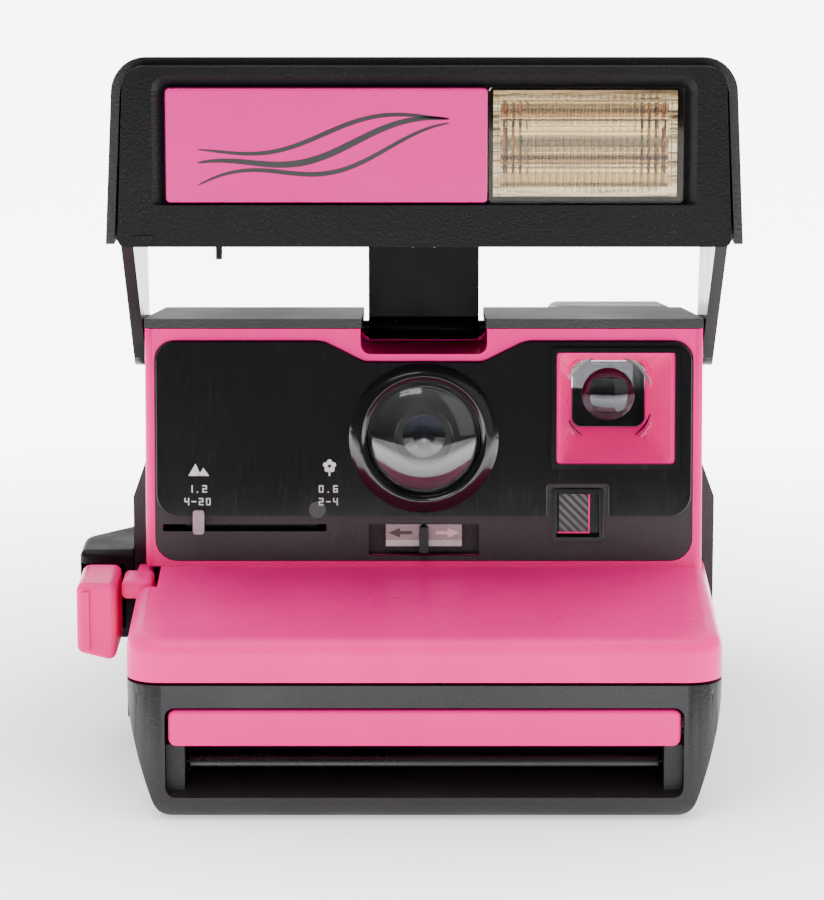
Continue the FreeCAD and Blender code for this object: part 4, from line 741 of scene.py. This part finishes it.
# ---- flash ----
class FlashHead(bpy.types.Operator):
    """Finish the hood, the face, the arms, the neck and its pins, and add the neck's two screws."""
    bl_idname = "instant_camera.flash_head"
    bl_label = "Flash head"

    def execute(self, context):
        rounding = look().edge_round
        finish_node("flash_hood", black_shell_finish(), rounding * 1.6)
        finish_node("flash_bezel", black_face_shaded_finish(), rounding)
        finish_node("flash_arms", smooth_black_finish(), rounding)
        # Painted shade: the neck is painted nearly black, darker than the other black parts, for the shade it
        # stands in below the flash.
        finish_node("flash_neck", plain_finish("neck_black_shaded", (0.002, 0.002, 0.0022, 1), 0.3, 0.45,
                                               Specular_IOR_Level=0.1), rounding * 0.6)
        finish_node("flash_pivot_pins", steel_finish("pin_steel", (0.04, 0.04, 0.042, 1), 0.35, 0.5))
        _, neck_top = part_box("flash_neck")
        pin_low, pin_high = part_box("flash_pivot_pins")
        face_y = (pin_low.y + pin_high.y) / 2 - 1.5 * MM
        screw_z = neck_top.z - 6.5 * MM
        head, slot_half, slot_high = 0.5 * MM, 0.8 * MM, 0.12 * MM
        screws = []
        for x in (-2.2 * MM, 2.2 * MM):
            screws.append(slab(disc_outline(x, screw_z, 1.15 * MM, 20), face_y, head))
            slot = box_outline(x - slot_half, x + slot_half, screw_z - slot_high, screw_z + slot_high)
            screws.append(slab(slot, face_y - head, 0.05 * MM))
        verts, faces = join_slabs(screws)
        new_piece("neck_screws", verts, faces, steel_finish(), "flash")
        return {"FINISHED"}


def ribbon(points, width, y, thickness):
    """A flat strip in the XZ plane that follows points, thin at both ends."""
    left, right = [], []
    count = len(points)
    for i, (x, z) in enumerate(points):
        before, after = points[max(i - 1, 0)], points[min(i + 1, count - 1)]
        direction = Vector((after[0] - before[0], after[1] - before[1])).normalized()
        share = i / (count - 1)
        half = width / 2 * (0.15 + 0.85 * math.sin(math.pi * share) ** 0.5)
        left.append((x - direction.y * half, z + direction.x * half))
        right.append((x + direction.y * half, z - direction.x * half))
    verts = [Vector((x, y, z)) for x, z in left + right]
    verts += [Vector((x, y - thickness, z)) for x, z in left + right]
    faces = []
    double = 2 * count
    for i in range(count - 1):
        a, b, c, d = i, i + 1, count + i + 1, count + i
        faces.append((a, b, c, d))
        faces.append((double + d, double + c, double + b, double + a))
        faces.append((a, double + a, double + b, b))
        faces.append((c, double + c, double + d, d))
    faces.append((0, count, double + count, double))
    faces.append((count - 1, double + count - 1, double + 2 * count - 1, 2 * count - 1))
    return verts, faces


class Badge(bpy.types.Operator):
    """Finish the pink badge and draw three loose waves over it."""
    bl_idname = "instant_camera.badge"
    bl_label = "Badge"

    def execute(self, context):
        finish_node("flash_badge", badge_finish(), 0.0003)
        low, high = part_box("flash_badge")
        width, height = high.x - low.x, high.z - low.z
        y = low.y + 0.02 * MM
        strips = []
        waves = ((0.26, 0.44, 0.09, 1.3), (0.42, 0.36, 0.08, 0.9), (0.10, 0.50, 0.10, 0.9))
        for start, rise, swing, thick in waves:
            points = []
            for i in range(61):
                share = i / 60
                x = low.x + width * (0.10 + 0.78 * share)
                z = low.z + height * (start + rise * share + swing * math.sin(share * 7.5 + start * 6))
                points.append((x, z))
            strips.append(ribbon(points, thick * MM, y, look().print_height))
        verts, faces = join_slabs(strips)
        new_piece("badge_waves", verts, faces, plain_finish("wave_black", (0.012, 0.011, 0.012, 1), 0.35, 0.5),
                  "flash")
        return {"FINISHED"}


def reflector_finish():
    """Bright trough whose warm bands, painted reflections in its colour, show through the ribbed window."""
    material = start_material("reflector_painted_bands", "handling_marks",
                              {"Scale": 420.0, "Stretch": 0.12, "Smooth": 0.10, "Rough": 0.30}, bump=0.00008,
                              Metallic=1.0)
    tree = material.node_tree
    shader = tree.nodes["Principled BSDF"]
    if not shader.inputs["Base Color"].is_linked:
        place = add_node(tree, "ShaderNodeTexCoord")
        # Painted reflection: warm and bright bands in the base colour stand for the reflections that the ribs
        # break up.
        painted_reflection_bands = add_node(tree, "ShaderNodeTexWave", {"Scale": 75.0, "Distortion": 1.2, "Detail": 2.0},
                         bands_direction="Z")
        tree.links.new(place.outputs["Object"], painted_reflection_bands.inputs["Vector"])
        colour = blend_colours(tree, painted_reflection_bands.outputs["Fac"], (0.66, 0.54, 0.42, 1), (0.98, 0.95, 0.88, 1))
        tree.links.new(colour, shader.inputs["Base Color"])
    return material


class FlashWindow(bpy.types.Operator):
    """Finish the flash window, its reflector and tube, and add the reflector's ribs and the tube's clips."""
    bl_idname = "instant_camera.flash_window"
    bl_label = "Flash window"

    def execute(self, context):
        finish_node("flash_lens", clear_finish("ribbed_clear", (0.95, 0.86, 0.68, 1), 0.02, 0.10, 1.42))
        finish_node("flash_reflector", reflector_finish())
        finish_node("flash_tube", clear_finish("tube_glass", (0.98, 0.97, 0.95, 1), 0.0, 0.05, 1.5))
        low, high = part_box("flash_reflector")
        height, middle = high.z - low.z, (low.z + high.z) / 2
        rng = random.Random(7)
        ribs = []
        for i in range(11):
            z = low.z + height * (0.06 + 0.088 * i)
            half = rng.uniform(0.25, 0.5) * MM
            back = low.y + 0.8 * MM + abs(z - middle) * 0.02
            rib = box_outline(low.x + 1.1 * MM, high.x - 1.1 * MM, z - half, z + half)
            ribs.append(slab(rib, back, 0.4 * MM))
        verts, faces = join_slabs(ribs)
        new_piece("reflector_ribs", verts, faces,
                  clear_finish("rib_clear", (0.99, 0.93, 0.78, 1), 0.05, 0.2, 1.3), "flash")
        half_wide, half_high, from_end = 0.9 * MM, 2.6 * MM, 2.2 * MM
        clips = [slab(box_outline(x - half_wide, x + half_wide, middle - half_high, middle + half_high),
                      low.y + 4.6 * MM, 1.6 * MM) for x in (low.x + from_end, high.x - from_end)]
        verts, faces = join_slabs(clips)
        new_piece("tube_clips", verts, faces, steel_finish("clip_copper", (0.36, 0.17, 0.09, 1), 0.25, 0.45),
                  "flash")
        return {"FINISHED"}


# ---- controls ----
class Buttons(bpy.types.Operator):
    """Finish the shutter and no-flash buttons."""
    bl_idname = "instant_camera.buttons"
    bl_label = "Buttons"

    def execute(self, context):
        finish_node("shutter_button", pink_shell_finish(), 0.00025)
        finish_node("no_flash_button", pink_shell_finish(), 0.00025)
        return {"FINISHED"}


# ---- film door ----
class FilmDoor(bpy.types.Operator):
    """Finish the film door, its pink trim, the rollers and their frame, and add the upper roller's grips."""
    bl_idname = "instant_camera.film_door"
    bl_label = "Film door"

    def execute(self, context):
        rounding = look().edge_round
        finish_node("door_shell", black_shell_finish(), rounding)
        finish_node("slot_trim", pink_shell_finish(), 0.0002)
        finish_node("door_latch", smooth_black_finish(), 0.0003)
        finish_node("door_hinge_pins", steel_finish())
        finish_node("roller_frame", steel_finish("frame_steel", (0.04, 0.04, 0.042, 1), 0.4, 0.55))
        finish_node("upper_roller", steel_finish("roller_dark", (0.03, 0.03, 0.032, 1), 0.25, 0.4))
        finish_node("lower_roller", steel_finish("roller_steel", (0.06, 0.06, 0.062, 1), 0.25, 0.4))
        low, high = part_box("upper_roller")
        centre_y, centre_z = (low.y + high.y) / 2, (low.z + high.z) / 2
        radius = (high.z - low.z) / 2
        grip = plain_finish("grip_rubber", (0.014, 0.014, 0.015, 1), 0.5, 0.7)
        inner_end, outer_end, steps = 38.0 * MM, 41.4 * MM, 72
        for name, side in (("knurl_left", -1), ("knurl_right", 1)):
            verts, faces = [], []
            for i in range(steps):
                angle = 2 * math.pi * i / steps
                reach = radius + (0.02 if i % 2 else 0.07) * MM
                y, z = centre_y + reach * math.cos(angle), centre_z + reach * math.sin(angle)
                verts += [Vector((side * inner_end, y, z)), Vector((side * outer_end, y, z))]
                following = (i + 1) % steps
                faces.append((2 * i, 2 * i + 1, 2 * following + 1, 2 * following))
            new_piece(name, verts, faces, grip, "upper_roller")
        return {"FINISHED"}


# ---- inside ----
class InnerWorks(bpy.types.Operator):
    """Finish the film chamber's frame, the light path, the shutter, the gears and the electrics."""
    bl_idname = "instant_camera.inner_works"
    bl_label = "Inner works"

    def execute(self, context):
        dark = plain_finish("inside_black", (0.010, 0.010, 0.011, 1), 0.55, 0.75)
        for name in ("dark_box", "shutter_housing"):
            finish_node(name, dark)
        blade = steel_finish("blade_steel", (0.06, 0.06, 0.062, 1), 0.3, 0.45)
        for name in ("shutter_blade_right", "shutter_blade_left", "film_frame", "gear_bracket"):
            finish_node(name, blade)
        finish_node("mirror", steel_finish("mirror_bright", (0.92, 0.92, 0.93, 1), 0.01, 0.05))
        finish_node("circuit_board", plain_finish("board_green", (0.03, 0.11, 0.045, 1), 0.3, 0.5))
        finish_node("flash_capacitor", plain_finish("sleeve_blue", (0.01, 0.015, 0.06, 1), 0.2, 0.35))
        finish_node("motor", steel_finish("motor_steel", (0.5, 0.5, 0.5, 1), 0.25, 0.4))
        finish_node("motor_pinion", steel_finish("pinion_brass", (0.70, 0.48, 0.18, 1), 0.25, 0.4))
        finish_node("battery_contacts", steel_finish("contact_brass", (0.72, 0.52, 0.22, 1), 0.2, 0.35))
        white = plain_finish("gear_white", (0.72, 0.72, 0.70, 1), 0.35, 0.5)
        for name in ("idler_gear", "roller_gear", "counter_wheel"):
            finish_node(name, white)
        finish_node("counter_shaft", smooth_black_finish())
        finish_node("pick_arm", steel_finish())
        return {"FINISHED"}


class CounterNumbers(bpy.types.Operator):
    """Number the picture counter's drum, with a dash between each two numbers."""
    bl_idname = "instant_camera.counter_numbers"
    bl_label = "Counter numbers"

    def execute(self, context):
        low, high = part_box("counter_wheel")
        centre = (low + high) / 2
        on_rim = (low.z - high.z) / 2 + 0.01 * MM
        first_turn, turn_step, pitch = -43, 36, 1.5 * MM
        across = Vector((0, centre.y, centre.z))
        labels = []
        for i, text in enumerate(("10", "-", "8", "-", "6", "-", "4", "-", "2", "-")):
            turn = Matrix.Rotation(math.radians(first_turn + turn_step * i), 4, "X")
            for k, character in enumerate(text):
                start = centre.x - pitch * len(text) / 2 + k * pitch
                for outline in digit_strokes(character, start, -0.9 * MM, 1.0 * MM, 1.8 * MM, 0.28 * MM):
                    verts, faces = slab(outline, on_rim, 0.05 * MM)
                    labels.append(([turn @ v + across for v in verts], faces))
        verts, faces = join_slabs(labels)
        new_piece("counter_numbers", verts, faces,
                  plain_finish("number_black", (0.02, 0.02, 0.02, 1), 0.4, 0.6), "counter_wheel")
        return {"FINISHED"}


# ---- studio ----
def softbox(name, place, aim, width, height, power):
    data = bpy.data.lights.new(name, "AREA")
    data.shape = "RECTANGLE"
    data.size, data.size_y = width, height
    data.energy = power
    lamp = bpy.data.objects.new(name, data)
    lamp.location = place
    lamp.rotation_euler = (Vector(aim) - Vector(place)).to_track_quat("-Z", "Y").to_euler()
    bpy.context.scene.collection.objects.link(lamp)
    return lamp


def direction_parts(tree, output):
    """The X, Y and Z of a texture coordinate, and the coordinate itself."""
    place = add_node(tree, "ShaderNodeTexCoord")
    split = add_node(tree, "ShaderNodeSeparateXYZ")
    tree.links.new(place.outputs[output], split.inputs[0])
    return split.outputs, place.outputs[output]


def floor_finish():
    """Pale floor that glows with painted light. The glow starts a little way from the camera body, leaving a
    painted shade around it, and fades towards the front.
    """
    material = start_material(
        "floor_pale", "moulded_skin",
        {"Colour": (0.90, 0.90, 0.90, 1), "Shade": (0.885, 0.885, 0.89, 1), "Mottle Scale": 3.0,
         "Smooth": 0.5, "Rough": 0.6, "Dust": 0.0}, Specular_IOR_Level=0.1, Emission_Strength=6.5)
    tree = material.node_tree
    parts, place = direction_parts(tree, "Object")
    distance = add_node(tree, "ShaderNodeVectorMath", operation="LENGTH")
    tree.links.new(place, distance.inputs[0])
    away = spread(tree, distance.outputs["Value"], 0.08, 0.34, 0.0, 1.0)
    behind = spread(tree, parts["Y"], -0.55, -0.22, 0.0, 1.0)
    # Painted light: the floor emits its own glow, held low near the body as painted shade.
    painted_glow = math_node(tree, "MULTIPLY", away, behind)
    colour = blend_colours(tree, painted_glow, (0.12, 0.12, 0.12, 1), (1.0, 1.0, 0.995, 1))
    tree.links.new(colour, tree.nodes["Principled BSDF"].inputs["Emission Color"])
    return material


def studio_world():
    """Bright behind and overhead, dark in front, so that the glossy panel has a dark room to mirror."""
    world = bpy.data.worlds.new("studio_world")
    world.use_nodes = True
    tree = world.node_tree
    parts, _ = direction_parts(tree, "Generated")
    behind = spread(tree, parts["Y"], -0.25, 0.75, 0.10, 1.9)
    above = spread(tree, parts["Z"], 0.5, 1.0, 0.0, 0.8)
    background = tree.nodes["Background"]
    background.inputs["Color"].default_value = (0.97, 0.975, 0.985, 1)
    tree.links.new(math_node(tree, "ADD", behind, above), background.inputs["Strength"])
    return world


def view_camera():
    data = bpy.data.cameras.new("view_camera")
    data.lens = 156.2
    data.clip_start = 0.05
    camera = bpy.data.objects.new("view_camera", data)
    tilt, reach = math.radians(11.0), 0.790
    target = Vector((-0.0024, -0.026, 0.064))
    camera.location = target - Vector((0, math.cos(tilt), -math.sin(tilt))) * reach
    camera.rotation_euler = (math.radians(90.0) - tilt, 0, 0)
    return camera


class Studio(bpy.types.Operator):
    """Pale floor, soft lights and the camera."""
    bl_idname = "instant_camera.studio"
    bl_label = "Studio"

    def execute(self, context):
        scene = context.scene
        side, front, back = 5.0, -1.25, 5.0
        floor_mesh = bpy.data.meshes.new("floor")
        floor_mesh.from_pydata([(-side, front, 0), (side, front, 0), (side, back, 0), (-side, back, 0)], [],
                               [(0, 1, 2, 3)])
        floor_mesh.materials.append(floor_finish())
        floor = bpy.data.objects.new("floor", floor_mesh)
        scene.collection.objects.link(floor)
        power = look().softbox_power
        middle = (0.0, 0.0, 0.07)
        lamps = [
            softbox("key_softbox", (-0.25, -0.75, 1.1), middle, 0.5, 0.5, power * 0.6),
            softbox("fill_softbox", (0.95, -1.1, 0.6), middle, 1.1, 1.1, power * 0.3),
            softbox("top_softbox", (0.0, -0.08, 1.05), middle, 1.1, 0.8, power * 1.5),
        ]
        scene.world = studio_world()
        camera = view_camera()
        scene.collection.objects.link(camera)
        scene.camera = camera
        return {"FINISHED"}


PIECES = (BodyShells, FrontPanel, DistanceMarks, Lens, Finder, LightCell, ExposureControl, CloseUpSlide,
          FlashHead, Badge, FlashWindow, Buttons, FilmDoor, InnerWorks, CounterNumbers, Studio)


class CameraPanel(bpy.types.Panel):
    """Lists the look's settings and the groups of pieces in the sidebar."""
    bl_idname = "VIEW3D_PT_instant_camera"
    bl_label = "Instant camera"
    bl_space_type = "VIEW_3D"
    bl_region_type = "UI"
    bl_category = "Camera"

    def draw(self, context):
        properties = context.scene.instant_camera
        for name in ("pink", "badge_pink", "charcoal", "panel_black", "print_white", "edge_round",
                     "grain_height", "print_height", "softbox_power"):
            self.layout.prop(properties, name)
        for piece in PIECES:
            self.layout.operator(piece.bl_idname)


def register():
    bpy.utils.register_class(InstantCameraProperties)
    bpy.types.Scene.instant_camera = bpy.props.PointerProperty(type=InstantCameraProperties)
    for piece in PIECES + (CameraPanel,):
        bpy.utils.register_class(piece)


def unregister():
    for piece in (CameraPanel,) + PIECES[::-1]:
        bpy.utils.unregister_class(piece)
    del bpy.types.Scene.instant_camera
    bpy.utils.unregister_class(InstantCameraProperties)


def main():
    register()
    for piece in PIECES:
        group, name = piece.bl_idname.split(".")
        getattr(getattr(bpy.ops, group), name)()


if __name__ == "__main__":
    main()
